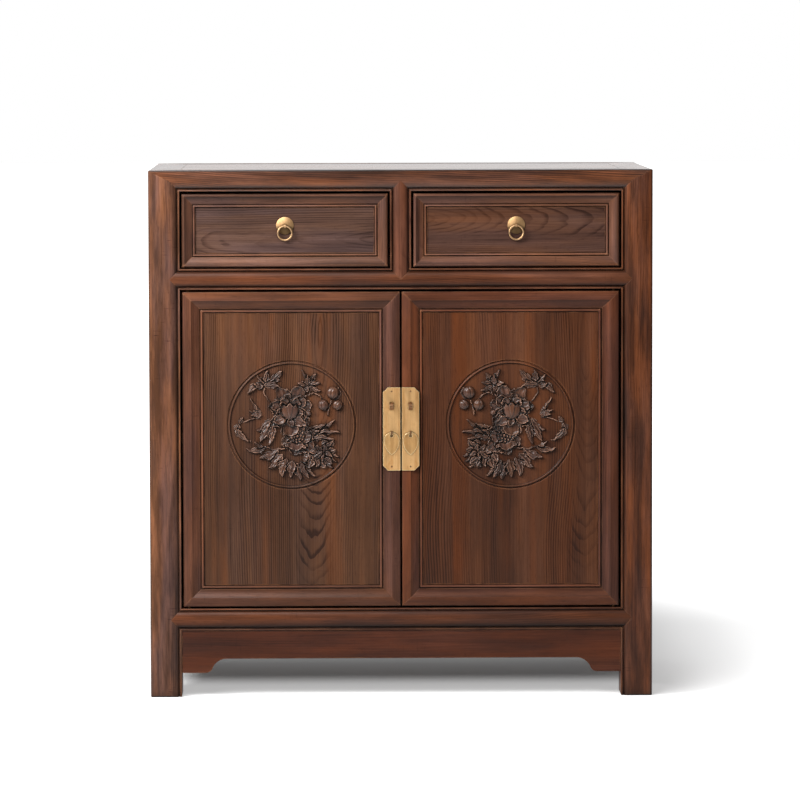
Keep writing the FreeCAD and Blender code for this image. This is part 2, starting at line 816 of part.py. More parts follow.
def make_door():
    """All pieces of one door by name, for the left side."""
    bottom, top, hinge, meeting = mitred_frame(door_width, door_height, door_member)
    envelope = door_envelope()
    tenons = door_tenons()
    panel, groove = door_panel()
    pins = [pivot(door_height, 1), pivot(0, -1)]
    lock = lock_staple()
    pull_eye = staple(pull_eye_width, pull_eye_radius, pull_eye_wall, pull_pivot_reach, pull_pivot_height)
    in_corner = pins + [groove]
    return {
        "hinge_stile": [hinge.common(envelope).cut(tenons + in_corner)],
        "meeting_stile": [meeting.cut(tenons + [groove, lock, pull_eye])],
        "top_rail": [joined(top.common(envelope), *tenons[2:]).cut(in_corner)],
        "bottom_rail": [joined(bottom.common(envelope), *tenons[:2]).cut(in_corner)],
        "panel": [panel],
        "pivot_pins": pins,
        "lock_plate": [lock_plate().cut([lock, pull_eye])],
        "staples": [lock, pull_eye],
        "pull": [leaf_pull()],
    }


# Drawers, made with the lower left corner of the front at the origin
drawer_width = (opening_width - divider_width) / 2 - 2 * drawer_side_gap
drawer_height = drawer_opening_height - drawer_top_gap - drawer_bottom_gap
drawer_level = drawer_opening_level + drawer_bottom_gap
pull_height_in_drawer = drawer_height / 2 + rosette_rise


def drawer_member(length):
    return frame_member(
        length, drawer_frame_width, drawer_frame_thickness, drawer_flat_width, drawer_bead_width,
        drawer_edge_round, drawer_panel_recess - groove_width,
    )


def drawer_box():
    """Sides housed in the front, a back between them, and a bottom in grooves."""
    outer = drawer_side_inset
    inner = outer + drawer_side_thickness
    front = drawer_frame_thickness - drawer_side_housing
    side = box(outer, inner, front, drawer_length, 0, drawer_side_height)
    back_end = drawer_length - drawer_back_set_in
    back_start = back_end - drawer_back_thickness
    bottom_top = drawer_bottom_rise + drawer_bottom_thickness
    housing = inner - drawer_groove_depth
    back = box(housing, drawer_width - housing, back_start, back_end, bottom_top, drawer_back_height)
    bottom = box(
        housing, drawer_width - housing, drawer_frame_thickness - drawer_groove_depth, drawer_length,
        drawer_bottom_rise, bottom_top,
    )
    other = side.mirror(Vec(drawer_width / 2, 0, 0), Vec(1, 0, 0))
    sides = [side.cut([back, bottom]), other.cut([back, bottom])]
    return sides, back, bottom, [side, other, bottom]


def rosette(face_y):
    """A domed disc on the drawer's panel."""
    y = face_y
    swell = rosette_rim + (rosette_dome - rosette_rim) * rosette_swell_share
    edges = [
        line(Vec(0, y, 0), Vec(rosette_radius, y, 0)),
        line(Vec(rosette_radius, y, 0), Vec(rosette_radius, y - rosette_rim, 0)),
        arc(
            Vec(rosette_radius, y - rosette_rim, 0),
            Vec(rosette_radius / 2, y - swell, 0),
            Vec(0, y - rosette_dome, 0),
        ),
        line(Vec(0, y - rosette_dome, 0), Vec(0, y, 0)),
    ]
    return revolved(edges, Vec(0, y, 0))


def ring_eye_y(face_y):
    return face_y - rosette_dome - ring_wire_radius - 2 * fit_gap


def ring_eye(face_y):
    """A pin through rosette and panel with an eye for the ring, its ends bent over behind."""
    y = ring_eye_y(face_y)
    back = face_y + drawer_panel_thickness
    hole_radius = ring_wire_radius + ring_clearance
    start = Vec(-eye_width / 2, y, -eye_drop)
    eye = Part.makeCylinder(hole_radius + eye_wall, eye_width, start, Vec(1, 0, 0))
    shank_start = Vec(0, y + hole_radius, -eye_drop)
    shank = Part.makeCylinder(eye_shank_radius, back - shank_start.y, shank_start, Vec(0, 1, 0))
    half = clench_length
    low = -eye_drop - eye_shank_radius
    high = -eye_drop + eye_shank_radius
    clench = box(-half, half, back, back + clench_thickness, low, high)
    hole = Part.makeCylinder(hole_radius, eye_width, start, Vec(1, 0, 0))
    return joined(eye, shank, clench).cut(hole)


def hanging_ring(face_y):
    centre = Vec(0, ring_eye_y(face_y), -eye_drop - ring_radius)
    return Part.makeTorus(ring_radius, ring_wire_radius, centre, Vec(0, 1, 0))


def make_drawer():
    """All pieces of one drawer by name."""
    bottom_member, top_member, left, right = mitred_frame(drawer_width, drawer_height, drawer_member)
    sides, back, bottom, housings = drawer_box()
    inner_width = drawer_width - 2 * drawer_frame_width
    inner_height = drawer_height - 2 * drawer_frame_width
    recess = drawer_panel_recess
    panel, groove = framed_panel(
        inner_width, inner_height, recess, drawer_panel_thickness, recess + panel_tongue_set_back,
        panel_tongue_thickness / 2, drawer_panel_tongue,
    )
    shift = Vec(drawer_width / 2, 0, drawer_frame_width)
    spot = Vec(drawer_width / 2, 0, pull_height_in_drawer)
    groove = groove.translated(shift)
    eye = ring_eye(recess).translated(spot)
    frame = [member.cut(housings + [groove]) for member in (bottom_member, top_member, left, right)]
    return {
        "front_frame": frame,
        "front_panel": [panel.translated(shift).cut(eye)],
        "sides": sides,
        "back": [back],
        "bottom": [bottom],
        "rosette": [rosette(recess).translated(spot).cut(eye)],
        "ring_eye": [eye],
        "ring": [hanging_ring(recess).translated(spot)],
    }


# The frame of the carcass
mid_front, mid_front_joint = pointed_rail(opening_width, mid_rail_height, rail_depth, leg_crown, leg_crown)
mid_side, mid_side_joint = pointed_rail(side_opening, mid_rail_height, rail_depth, leg_crown, leg_crown)
low_front, low_front_joint = pointed_rail(opening_width, bottom_rail_height, rail_depth, leg_crown, leg_crown)
low_side, low_side_joint = pointed_rail(side_opening, bottom_rail_height, rail_depth, leg_crown, leg_crown)
mid_back, mid_back_joint = plain_rail(opening_width, mid_rail_height, back_rail_depth)
low_back, low_back_joint = plain_rail(opening_width, bottom_rail_height, back_rail_depth)
upright, upright_joint = pointed_rail(
    drawer_opening_height, divider_width, rail_depth, mid_rail_height / 2, top_rail_height / 2
)
front_apron, front_apron_groove = apron(opening_width)
side_apron, side_apron_groove = apron(side_opening)
upper_side, upper_side_groove = carcass_panel(side_opening, drawer_opening_height)
lower_side, lower_side_groove = carcass_panel(side_opening, door_opening_height)
upper_back, upper_back_groove = carcass_panel(opening_width, drawer_opening_height)
lower_back, lower_back_groove = carcass_panel(opening_width, door_opening_height)
top_panel, top_groove = make_top_panel()
battens = make_battens()
runners = make_runners()
bearers = make_bearers()


def stand_upright(shape):
    """Turn a bar along X into a post that stands on the drawer opening's sill."""
    turned = shape.rotated(Vec(0, 0, 0), Vec(0, 1, 0), -math.degrees(math.pi / 2))
    centre_z = drawer_opening_level + drawer_opening_height / 2
    return turned.translated(Vec(divider_width / 2, front_y, centre_z))


divider = stand_upright(upright)
divider_joint = stand_upright(upright_joint)


def carcass_cuts():
    """Every joint and groove that the legs and rails take from their neighbours."""
    cuts = [
        place(mid_front_joint, "front", mid_rail_level),
        place(low_front_joint, "front", foot_height),
        place(mid_back_joint, "back", mid_rail_level),
        place(low_back_joint, "back", foot_height),
        place(front_apron_groove, "front", 0),
        place(upper_back_groove, "back", drawer_opening_level),
        place(lower_back_groove, "back", door_opening_level),
    ]
    for side in ("left", "right"):
        cuts.append(place(mid_side_joint, side, mid_rail_level))
        cuts.append(place(low_side_joint, side, foot_height))
        cuts.append(place(side_apron_groove, side, 0))
        cuts.append(place(upper_side_groove, side, drawer_opening_level))
        cuts.append(place(lower_side_groove, side, door_opening_level))
    return cuts


leg_cuts = carcass_cuts() + bearers
front_leg = leg(True).translated(Vec(-side_x, front_y, 0)).cut(leg_cuts)
back_leg = leg(False).mirror(Vec(0, 0, 0), Vec(0, 1, 0)).translated(Vec(-side_x, back_y, 0)).cut(leg_cuts)
save("leg_front_left", front_leg)
save("leg_front_right", mirrored(front_leg))
save("leg_back_left", back_leg)
save("leg_back_right", mirrored(back_leg))

# Grooves and mortises of the rails
panel_grooves = {
    "front": [],
    "back": [
        place(upper_back_groove, "back", drawer_opening_level),
        place(lower_back_groove, "back", door_opening_level),
    ],
}
for side in ("left", "right"):
    panel_grooves[side] = [
        place(upper_side_groove, side, drawer_opening_level),
        place(lower_side_groove, side, door_opening_level),
    ]
for side in ("front", "back", "left", "right"):
    length = cabinet_width if side in ("front", "back") else cabinet_depth
    rail = place(top_rail(length, side != "back"), side, top_rail_level)
    save("top_rail_" + side, rail.cut(panel_grooves[side] + [top_groove, divider_joint] + battens))
save("top_panel", top_panel)
save("top_battens", *battens)

door_x = -opening_width / 2 + door_side_gap
door_spot = Vec(door_x, front_y + face_set_back, door_level)
sockets = [pivot_socket(door_height, 1).translated(door_spot), pivot_socket(0, -1).translated(door_spot)]
sockets += [mirrored(socket) for socket in sockets]

save("mid_rail_front", place(mid_front, "front", mid_rail_level).cut(runners + sockets + [divider_joint]))
save("mid_rail_back", place(mid_back, "back", mid_rail_level).cut(runners + panel_grooves["back"]))
save(
    "mid_side_rails",
    *[place(mid_side, side, mid_rail_level).cut(panel_grooves[side]) for side in ("left", "right")],
)
save("drawer_divider", divider)
apron_grooves = {
    "front": place(front_apron_groove, "front", 0),
    "left": place(side_apron_groove, "left", 0),
    "right": place(side_apron_groove, "right", 0),
}
save("bottom_rail_front", place(low_front, "front", foot_height).cut(sockets + [apron_grooves["front"]]))
save("bottom_rail_back", place(low_back, "back", foot_height).cut(panel_grooves["back"]))
save(
    "bottom_side_rails",
    *[
        place(low_side, side, foot_height).cut(panel_grooves[side] + [apron_grooves[side]])
        for side in ("left", "right")
    ],
)
save("apron_front", place(front_apron, "front", 0))
save("side_aprons", *[place(side_apron, side, 0) for side in ("left", "right")])
for side in ("left", "right"):
    panels = [place(upper_side, side, drawer_opening_level), place(lower_side, side, door_opening_level)]
    save("side_panels_" + side, *panels)
save(
    "back_panels",
    place(upper_back, "back", drawer_opening_level),
    place(lower_back, "back", door_opening_level),
)
save("cabinet_floor", make_floor())
save("shelf", make_shelf())
save("shelf_bearers", *bearers)
save("drawer_runners", *runners)

# The doors: the right one is the left one's mirror image
for name, solids in make_door().items():
    left_solids = [solid.translated(door_spot) for solid in solids]
    save("door_left_" + name, *left_solids)
    save("door_right_" + name, *[mirrored(solid) for solid in left_solids])

# The drawers, one each side of the divider
for name, solids in make_drawer().items():
    left_spot = Vec(-opening_width / 2 + drawer_side_gap, front_y + face_set_back, drawer_level)
    left_solids = [solid.translated(left_spot) for solid in solids]
    save("drawer_left_" + name, *left_solids)
    save("drawer_right_" + name, *[mirrored(solid) for solid in left_solids])
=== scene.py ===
import bpy
import math
import numpy as np
from mathutils import Matrix, Vector


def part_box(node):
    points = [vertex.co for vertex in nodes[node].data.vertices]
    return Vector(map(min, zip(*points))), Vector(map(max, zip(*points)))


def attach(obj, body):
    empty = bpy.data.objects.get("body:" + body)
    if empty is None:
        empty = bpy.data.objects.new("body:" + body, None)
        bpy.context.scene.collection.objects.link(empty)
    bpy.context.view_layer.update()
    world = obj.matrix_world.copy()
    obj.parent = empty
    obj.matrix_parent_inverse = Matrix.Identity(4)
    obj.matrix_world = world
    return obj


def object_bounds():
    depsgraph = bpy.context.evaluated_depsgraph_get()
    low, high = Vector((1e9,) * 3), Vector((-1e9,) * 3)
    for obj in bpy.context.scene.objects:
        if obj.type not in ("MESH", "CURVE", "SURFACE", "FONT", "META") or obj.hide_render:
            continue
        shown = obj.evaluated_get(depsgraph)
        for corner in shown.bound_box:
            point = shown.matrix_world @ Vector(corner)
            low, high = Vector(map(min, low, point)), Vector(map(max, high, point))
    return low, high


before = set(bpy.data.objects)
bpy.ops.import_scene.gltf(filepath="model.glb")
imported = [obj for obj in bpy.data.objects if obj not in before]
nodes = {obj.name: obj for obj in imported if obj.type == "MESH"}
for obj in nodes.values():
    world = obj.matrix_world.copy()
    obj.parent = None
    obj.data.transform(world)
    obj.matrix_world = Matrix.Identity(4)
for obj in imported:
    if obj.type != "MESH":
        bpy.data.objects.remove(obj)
cad_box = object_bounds()
TOP_LEVEL = cad_box[1].z

# Camera, worked out from the corners of the carcass in the photograph
CAMERA_PLACE = Vector((-0.1158, -6.8499, 1.0381))
CAMERA_YAW = math.radians(0.657)
CAMERA_PITCH = math.radians(3.749)
CAMERA_ROLL = math.radians(-0.145)
CAMERA_LENS = 189.2
CAMERA_SHIFT = (0.03, -0.1)
CAMERA_CLIP = 200.0

# Carving of the roundels, in millimetres: its radius, the grid's step, how wide a form's edge is smoothed
# and how deep the sunk ground lies. The forms stand higher than they are laid out, by a factor
MILLIMETRE = 0.001
CARVING_RADIUS = 96.6
CARVING_STEP = 0.7
CARVING_EDGE = 1.0
CARVING_SUNK = -0.8
CARVING_HEIGHT = 1.2
# The cut round each form, in millimetres: how deep and wide it is, and its distance from the outline
CUT_DEPTH = 2.4
CUT_WIDTH = 0.9
CUT_AWAY = 1.2

# The roundel on its panel, in metres: the height of its middle, how far its ground lies behind the panel's
# front, where the bead round it starts and turns to its side, where the groove outside it ends and how
# sharply, and down to what depth the painted light reaches
ROUNDEL_HEIGHT = 0.4346
ROUNDEL_BEAD = 0.0024
BEAD_FOOT = 0.0975
BEAD_SIDE = 0.1
GROOVE_END = 0.103
GROOVE_EDGE = 0.0006
FACE_DEPTH = 0.004
# How much painted light the bead and that groove get
BEAD_PAINTED_LIGHT = 0.25
GROOVE_PAINTED_LIGHT = 0.9

# Nail heads of the lock plates
NAIL_RADIUS = 0.0014
NAIL_RISE = 0.0009
NAIL_SUNK = 0.0002
NAIL_INSET = 0.0062
NAIL_RINGS = 5
NAIL_STEPS = 20

# Mouldings of the door and drawer frames: crest and foot of the hollow, from the outer edge, how much
# light the foot keeps, and how far the worn outer edge falls off
DOOR_MOULDING = {"crest": 0.017, "foot": 0.0273, "sunk": 0.5, "fall": 0.0033}
DRAWER_MOULDING = {"crest": 0.008, "foot": 0.0163, "sunk": 0.7, "fall": 0.0018}

# Noises: scales across and along the grain, detail, roughness and, for most, the ramp that they run through.
# Those of the brass stand at the end
NOISES = {
    "sway": ((2, 2, 2.6), 1, 0.55),
    "swing": ((1.5, 3, 4.1), 1, 0.55),
    "ripple": ((22, 22, 9), 3, 0.55),
    "ring_zones": ((14, 14, 12), 2, 0.55, 0.35, 0.65, 0.25, 1),
    "drift": ((8, 8, 0.9), 2, 0.55),
    "line_zones": ((15, 15, 1.6), 2, 0.55, 0.4, 0.6, 0.05, 1),
    "bands": ((60, 60, 1.4), 4, 0.62),
    "clouds": ((14, 14, 4), 4, 0.55),
    "fibres": ((400, 400, 7), 3, 0.65),
    "pores": ((1150, 1150, 62), 2, 0.6, 0.58, 0.7),
    "streaks": ((26, 26, 0.9), 3, 0.55, 0.5, 0.66),
    "mottle": ((11, 11, 3.4), 4, 0.55, 0.34, 0.66, 0.8, 1.14),
    "blotches": ((85, 85, 9), 5, 0.62, 0.34, 0.66, 0.55, 1.42),
    "warmth": ((32, 32, 4.6), 3, 0.55, 0.36, 0.64),
    "marks": ((36, 36, 330), 3, 0.6, 0.6, 0.7),
    "mark_zones": ((30, 30, 16), 2, 0.55, 0.5, 0.64),
    "gloss": ((26, 26, 11), 4, 0.55, 0.3, 0.7, 0.34, 0.48),
    "wear_and_highlight_zones": ((60, 60, 22), 4, 0.55, 0.4, 0.6, 0.1, 1),
    "brushing": ((1400, 1400, 18), 3, 0.7),
    "dull_zones": ((150, 150, 9), 3, 0.55, 0.4, 0.68),
    "dull_blotches": ((120, 120, 60), 4, 0.55),
}

# Growth: rings and lines to a metre, how far noise pushes them, and how much narrower arches are
RING_DENSITY = 115.0
RING_PUSH = 2.8
LINE_DENSITY = 270.0
LINE_PUSH = 9.0
SWAY = 0.04
SWING = 0.07
ARCH_NARROWING = 1.9

# Sockets of the wood's node group
COLOUR_INPUTS = ("Dark", "Middle", "Light", "Streak")
LOOK_INPUTS = ("Streaks", "Rings", "Lines", "Lean", "Blotches", "Marks")
GROUP_SOCKETS = (
    ("INPUT", "NodeSocketColor", COLOUR_INPUTS),
    ("INPUT", "NodeSocketVector", ("Place", "Away")),
    ("INPUT", "NodeSocketFloat", LOOK_INPUTS),
    ("OUTPUT", "NodeSocketColor", ("Color",)),
    ("OUTPUT", "NodeSocketFloat", ("Roughness", "Height")),
)

# Shares of the middle tone that give the dark and the light one, and tints that multiply the colour
DARK_SHARES = (0.34, 0.3, 0.3, 1.0)
LIGHT_SHARES = (1.65, 1.75, 1.8, 1.0)
COOL_TINT = (0.82, 0.92, 1.16, 1.0)
WARM_TINT = (1.12, 1.02, 0.8, 1.0)
MARK_TINT = (0.4, 0.34, 0.34, 1.0)
PORE_TINT = (0.36, 0.3, 0.3, 1.0)
WHITE = (1.0, 1.0, 1.0, 1.0)

# Surfaces, in metres: how round edges look, how deep grain and brush marks are, and how far from a corner
# the brass is tarnished and painted in shade
WOOD_EDGE = 0.0018
BRASS_EDGE = 0.0005
GRAIN_DEPTH = 0.0002
BRUSH_DEPTH = 0.0001
TARNISH_AND_SHADE_REACH = 0.004
COAT_ROUGHNESS = 0.24
# How far a seed of 1 moves a piece's figure along each axis, and where the pith of a plain piece lies
SEED_STEPS = (0.731, 0.417, 0.953)
PITH = (0.02, 0.11, 0.9)

# Light that the world gives, the floor's tone, and the floor's own share of light from below
WORLD_LIGHT = 0.2
FLOOR_TONE = 0.9
FLOOR_BOUNCE = 0.2
FLOOR_REACH = 30.0
# Ramps, as a start, an end and the values there. The first two dim the room in front of the object, which
# only reflections show: by direction in the world, by metres on the floor. The rest, in metres, are light
# that the floor gives off: beside the object, in front of it, behind it and far away
WORLD_DIM = (-0.3, 0.3, 0.1, 1.0)
FLOOR_DIM = (-1.6, -0.6, 0.0, 1.0)
GLOW_BESIDE = ((0.385, 0.4, 0.0, 0.36), (0.4, 0.56, 0.0, 0.26), (0.53, 0.64, 0.0, 0.17))
GLOW_BEFORE = (0.05, -0.09, 0.05, 0.42)
GLOW_BEHIND = (0.6, 1.05, 0.0, 0.2)
GLOW_FAR = (0.8, 1.9, 0.0, 0.45)

# Lamps: the point they face, then where each hangs, its width in metres and its power in watts
LAMP_AIM = Vector((0.0, -0.1, 0.5))
LAMPS = {
    "key_lamp": ((-0.95, -2.1, 2.3), 1.9, 60.0),
    "left_lamp": ((-1.6, -1.2, 1.6), 0.9, 47.0),
}


# Nodes of a material
def plug(tree, node, **inputs):
    """Fills a node's inputs, by their names or numbers, with values or other nodes' outputs."""
    for name, value in inputs.items():
        socket = node.inputs[int(name[1:]) if name[0] == "_" else name.replace("_", " ")]
        if isinstance(value, bpy.types.NodeSocket):
            tree.links.new(value, socket)
        else:
            socket.default_value = value
    return node


def add(tree, kind, settings=(), **inputs):
    """A shader node with its settings and inputs."""
    made = tree.nodes.new(kind)
    for name, value in dict(settings).items():
        setattr(made, name, value)
    return plug(tree, made, **inputs)


def calculate(tree, operation, first, second=0.0, clamp=False):
    made = add(tree, "ShaderNodeMath", {"operation": operation, "use_clamp": clamp}, _0=first, _1=second)
    return made.outputs[0]


def plus(tree, first, second):
    return calculate(tree, "ADD", first, second)


def minus(tree, first, second):
    return calculate(tree, "SUBTRACT", first, second)


def times(tree, first, second):
    return calculate(tree, "MULTIPLY", first, second)


def vector_math(tree, operation, first, second=(0.0, 0.0, 0.0)):
    made = add(tree, "ShaderNodeVectorMath", {"operation": operation}, _0=first, _1=second)
    return made.outputs["Value" if operation == "LENGTH" else 0]


def split(tree, vector):
    return add(tree, "ShaderNodeSeparateXYZ", Vector=vector).outputs


def object_place(tree):
    """Coordinates in the object, which at rest are those of the shared frame."""
    return tree.nodes.new("ShaderNodeTexCoord").outputs["Object"]


def blend_colours(tree, share, first, second, mode="MIX"):
    settings = {"data_type": "RGBA", "blend_type": mode}
    return add(tree, "ShaderNodeMix", settings, _0=share, _6=first, _7=second).outputs[2]


def multiplied(tree, colour, by):
    return blend_colours(tree, 1.0, colour, by, "MULTIPLY")


def remap(tree, value, low, high, to_low=0.0, to_high=1.0):
    made = add(
        tree, "ShaderNodeMapRange", {"interpolation_type": "SMOOTHSTEP"}, Value=value, From_Min=low,
        From_Max=high, To_Min=to_low, To_Max=to_high,
    )
    return made.outputs["Result"]


def noise(tree, vector, name):
    """One of the named noises, on a vector that is first stretched by a scale for each axis."""
    scales, detail, roughness, *ramp = NOISES[name]
    made = add(
        tree, "ShaderNodeTexNoise", Vector=vector_math(tree, "MULTIPLY", vector, scales), Scale=1.0,
        Detail=detail, Roughness=roughness,
    )
    return remap(tree, made.outputs["Fac"], *ramp) if ramp else made.outputs["Fac"]


def occlusion(tree, distance, **settings):
    """How open a point lies: less than 1 in hollows, or near sharp edges where it looks inside."""
    made = add(tree, "ShaderNodeAmbientOcclusion", {"samples": 6, **settings}, Distance=distance)
    return made.outputs["AO"]


def sharpness(tree, distance):
    """Less than 1 near the object's own sharp edges."""
    return occlusion(tree, distance, inside=True, only_local=True)


def bevel(tree, radius):
    return add(tree, "ShaderNodeBevel", {"samples": 4}, Radius=radius).outputs[0]


def bump(tree, height, normal, distance, strength=1.0):
    made = add(tree, "ShaderNodeBump", Strength=strength, Distance=distance, Height=height, Normal=normal)
    return made.outputs[0]


def tone(red, green, blue):
    """A colour as the photograph shows it, 0 to 255, turned into the linear values that shaders take."""
    linear = [((c / 255 + 0.055) / 1.055) ** 2.4 if c > 10 else c / 255 / 12.92 for c in (red, green, blue)]
    return (*linear, 1.0)


# Wood: growth rings round a pith and straight growth lines, with streaks, fibres and pores
def growth_rings(tree, grain, place, lean):
    """Nested arches where the board was cut near the pith, and how strong they are at a point."""
    axes = split(tree, place)
    sway = minus(tree, noise(tree, grain, "sway"), 0.5)
    swing = minus(tree, noise(tree, grain, "swing"), 0.5)
    across = plus(tree, axes[0], times(tree, sway, SWAY))
    deep = plus(tree, axes[1], times(tree, swing, SWING))
    deep = plus(tree, deep, times(tree, axes[2], lean))
    narrow = times(tree, across, ARCH_NARROWING)
    square = plus(tree, times(tree, narrow, narrow), times(tree, deep, deep))
    turns = times(tree, calculate(tree, "SQRT", square), RING_DENSITY)
    turns = plus(tree, turns, times(tree, noise(tree, grain, "ripple"), RING_PUSH))
    ring = calculate(tree, "FRACT", turns)
    late = times(tree, remap(tree, ring, 0.5, 0.9), remap(tree, ring, 1.0, 0.94))
    near = remap(tree, calculate(tree, "ABSOLUTE", across), 0.014, 0.034, 1.0, 0.0)
    late = times(tree, times(tree, late, near), noise(tree, grain, "ring_zones"))
    return across, late, near


def growth_lines(tree, grain, across):
    """Fine straight lines along the grain, in zones where they show more or less."""
    turns = times(tree, across, LINE_DENSITY)
    turns = plus(tree, turns, times(tree, noise(tree, grain, "drift"), LINE_PUSH))
    part = calculate(tree, "FRACT", turns)
    line = times(tree, remap(tree, part, 0.35, 0.9), remap(tree, part, 1.0, 0.92))
    return times(tree, line, noise(tree, grain, "line_zones"))


def make_wood_group():
    """The figure that all woods share: its colour, roughness and height."""
    tree = bpy.data.node_groups.new("wood_figure", "ShaderNodeTree")
    for way, kind, names in GROUP_SOCKETS:
        for name in names:
            tree.interface.new_socket(name, in_out=way, socket_type=kind)
    given = tree.nodes.new("NodeGroupInput").outputs
    grain = vector_math(tree, "ADD", given["Place"], given["Away"])
    across, late, near = growth_rings(tree, grain, given["Place"], given["Lean"])
    late = times(tree, late, given["Rings"])
    line = times(tree, growth_lines(tree, grain, across), given["Lines"])
    line = times(tree, line, remap(tree, near, 0.0, 1.0, 1.0, 0.3))

    fibres = noise(tree, grain, "fibres")
    figure = times(tree, noise(tree, grain, "bands"), 0.5)
    figure = plus(tree, figure, times(tree, noise(tree, grain, "clouds"), 0.34))
    figure = plus(tree, figure, times(tree, fibres, 0.36))
    figure = minus(tree, figure, times(tree, late, 0.34))
    figure = minus(tree, figure, times(tree, line, 0.2))
    colour = blend_colours(tree, remap(tree, figure, 0.36, 0.6), given["Dark"], given["Middle"])
    colour = blend_colours(tree, remap(tree, figure, 0.57, 0.8), colour, given["Light"])
    streak = times(tree, noise(tree, grain, "streaks"), given["Streaks"])
    colour = blend_colours(tree, streak, colour, given["Streak"])
    colour = multiplied(tree, colour, noise(tree, grain, "mottle"))
    blotched = multiplied(tree, colour, noise(tree, grain, "blotches"))
    colour = blend_colours(tree, given["Blotches"], colour, blotched)
    tint = blend_colours(tree, noise(tree, grain, "warmth"), COOL_TINT, WARM_TINT)
    tinted = plus(tree, times(tree, given["Blotches"], 0.6), 0.4)
    colour = blend_colours(tree, tinted, colour, tint, "MULTIPLY")
    marked = times(tree, noise(tree, grain, "marks"), noise(tree, grain, "mark_zones"))
    marked = times(tree, marked, given["Marks"])
    colour = blend_colours(tree, marked, colour, MARK_TINT, "MULTIPLY")
    pitted = noise(tree, grain, "pores")
    colour = blend_colours(tree, times(tree, pitted, 0.5), colour, PORE_TINT, "MULTIPLY")

    gloss = plus(tree, noise(tree, grain, "gloss"), times(tree, pitted, 0.12))
    height = minus(tree, times(tree, fibres, 0.6), pitted)
    height = minus(tree, height, times(tree, line, 0.8))
    plug(tree, tree.nodes.new("NodeGroupOutput"), Color=colour, Roughness=gloss, Height=height)
    return tree


wood_group = make_wood_group()


def shades(red, green, blue, streak):
    """Dark, middle, light and streak colours of a finish, from its middle tone in the photograph."""
    middle = tone(red, green, blue)
    dark = tuple(c * share for c, share in zip(middle, DARK_SHARES))
    light = tuple(c * share for c, share in zip(middle, LIGHT_SHARES))
    return dark, middle, light, tone(*streak)


# What a plain piece looks like: the strength of its figure's parts, its gloss, how much painted shade it
# gets on slopes, undersides and tops, dirt and painted shade in hollows, and edges lightened by wear and
# painted highlights
PLAIN_LOOK = {
    "streaks": 0.4, "rings": 0.3, "lines": 0.35, "lean": 0.02, "blotches": 0.4, "marks": 0.4,
    "satin": 0.12, "coat": 0.14, "bump": 0.35,
    "slope": 0.6, "under": 0.6, "over": 0.84, "dirt": 0.2, "reach": 0.02, "open": 0.95,
    "worn": 0.4, "rim": 0.0024, "worn_tone": tone(190, 130, 90), "joints": True,
}
# Colours of the finish; the two leg colours hold painted light on the left legs, painted shade on the right
LACQUER = shades(107, 64, 42, (58, 33, 22))
LIT_LEG_LACQUER = shades(117, 78, 59, (88, 58, 50))
SHADED_LEG_LACQUER = shades(99, 57, 37, (120, 66, 36))
RAIL_LACQUER = shades(97, 56, 37, (122, 66, 36))
SIDE_LACQUER = shades(106, 62, 42, (128, 70, 38))
DOOR_PANEL_LACQUERS = {
    "left": shades(93, 61, 43, (122, 72, 42)),
    "right": shades(92, 54, 34, (122, 64, 30)),
}
DOOR_LACQUERS = {
    "left": shades(93, 58, 44, (114, 68, 42)),
    "right": shades(94, 54, 38, (118, 66, 38)),
}
DRAWER_PANEL_LACQUERS = {
    "left": shades(83, 60, 52, (95, 68, 53)),
    "right": shades(91, 61, 48, (106, 66, 44)),
}
DRAWER_LACQUERS = {
    "left": shades(104, 70, 56, (120, 76, 52)),
    "right": shades(106, 69, 53, (122, 76, 50)),
}
SIDE_PANEL_LACQUER = shades(91, 50, 29, (122, 64, 30))
LOW_LACQUER = shades(98, 57, 38, (118, 66, 40))
DEEP_LACQUER = shades(74, 36, 20, (90, 46, 26))
CARVED_LACQUER = shades(97, 64, 49, (112, 68, 46))
RAW_WOOD = shades(166, 127, 96, (154, 110, 80))
# Door panels' colour painted lighter further up, as lit from above: two heights, and how light it is at each
DOOR_PANEL_PAINTED_LIGHT = (0.18, 0.62, 0.76, 1.06)


def turned_grain(tree, along, pith, skew=0.0):
    """Object coordinates from a point of the pith, the grain's direction turned to Z, a little askew."""
    axes = split(tree, vector_math(tree, "SUBTRACT", object_place(tree), pith))
    order = {"X": (2, 1, 0), "Y": (2, 0, 1), "Z": (0, 1, 2)}[along]
    across = axes[order[0]]
    if skew:
        across = plus(tree, across, times(tree, axes[order[2]], skew))
    return add(tree, "ShaderNodeCombineXYZ", X=across, Y=axes[order[1]], Z=axes[order[2]]).outputs[0]


def from_edges(tree, centre, half):
    """How far a point of a frame lies from the frame's side and from its end."""
    axes = split(tree, object_place(tree))
    across = calculate(tree, "ABSOLUTE", minus(tree, axes[0], centre.x))
    up = calculate(tree, "ABSOLUTE", minus(tree, axes[2], centre.z))
    return minus(tree, half.x, across), minus(tree, half.z, up)


def mitred_grain(tree, from_side, from_end):
    """Grain that runs along X in a frame's rails and along Z in its stiles, changing on the mitre."""
    in_stile = calculate(tree, "LESS_THAN", from_side, from_end)
    rail = turned_grain(tree, "X", PITH)
    stile = turned_grain(tree, "Z", PITH)
    return add(tree, "ShaderNodeMix", {"data_type": "VECTOR"}, _0=in_stile, _4=rail, _5=stile).outputs[1]


def frame_painted_shading(tree, depth, moulding):
    """Painted light and shade on a frame's moulding: lightest on its crest, darker down in its hollow, light
    on its bead.
    """
    crest, foot, sunk = moulding["crest"], moulding["foot"], moulding["sunk"]
    outer = remap(tree, depth, crest - 0.005, crest, 0.94, 1.3)
    hollow = remap(tree, depth, crest, foot, 1.0, sunk)
    bead = remap(tree, depth, foot, foot + 0.003, 0.0, 1.2 - sunk)
    return plus(tree, times(tree, outer, hollow), bead)


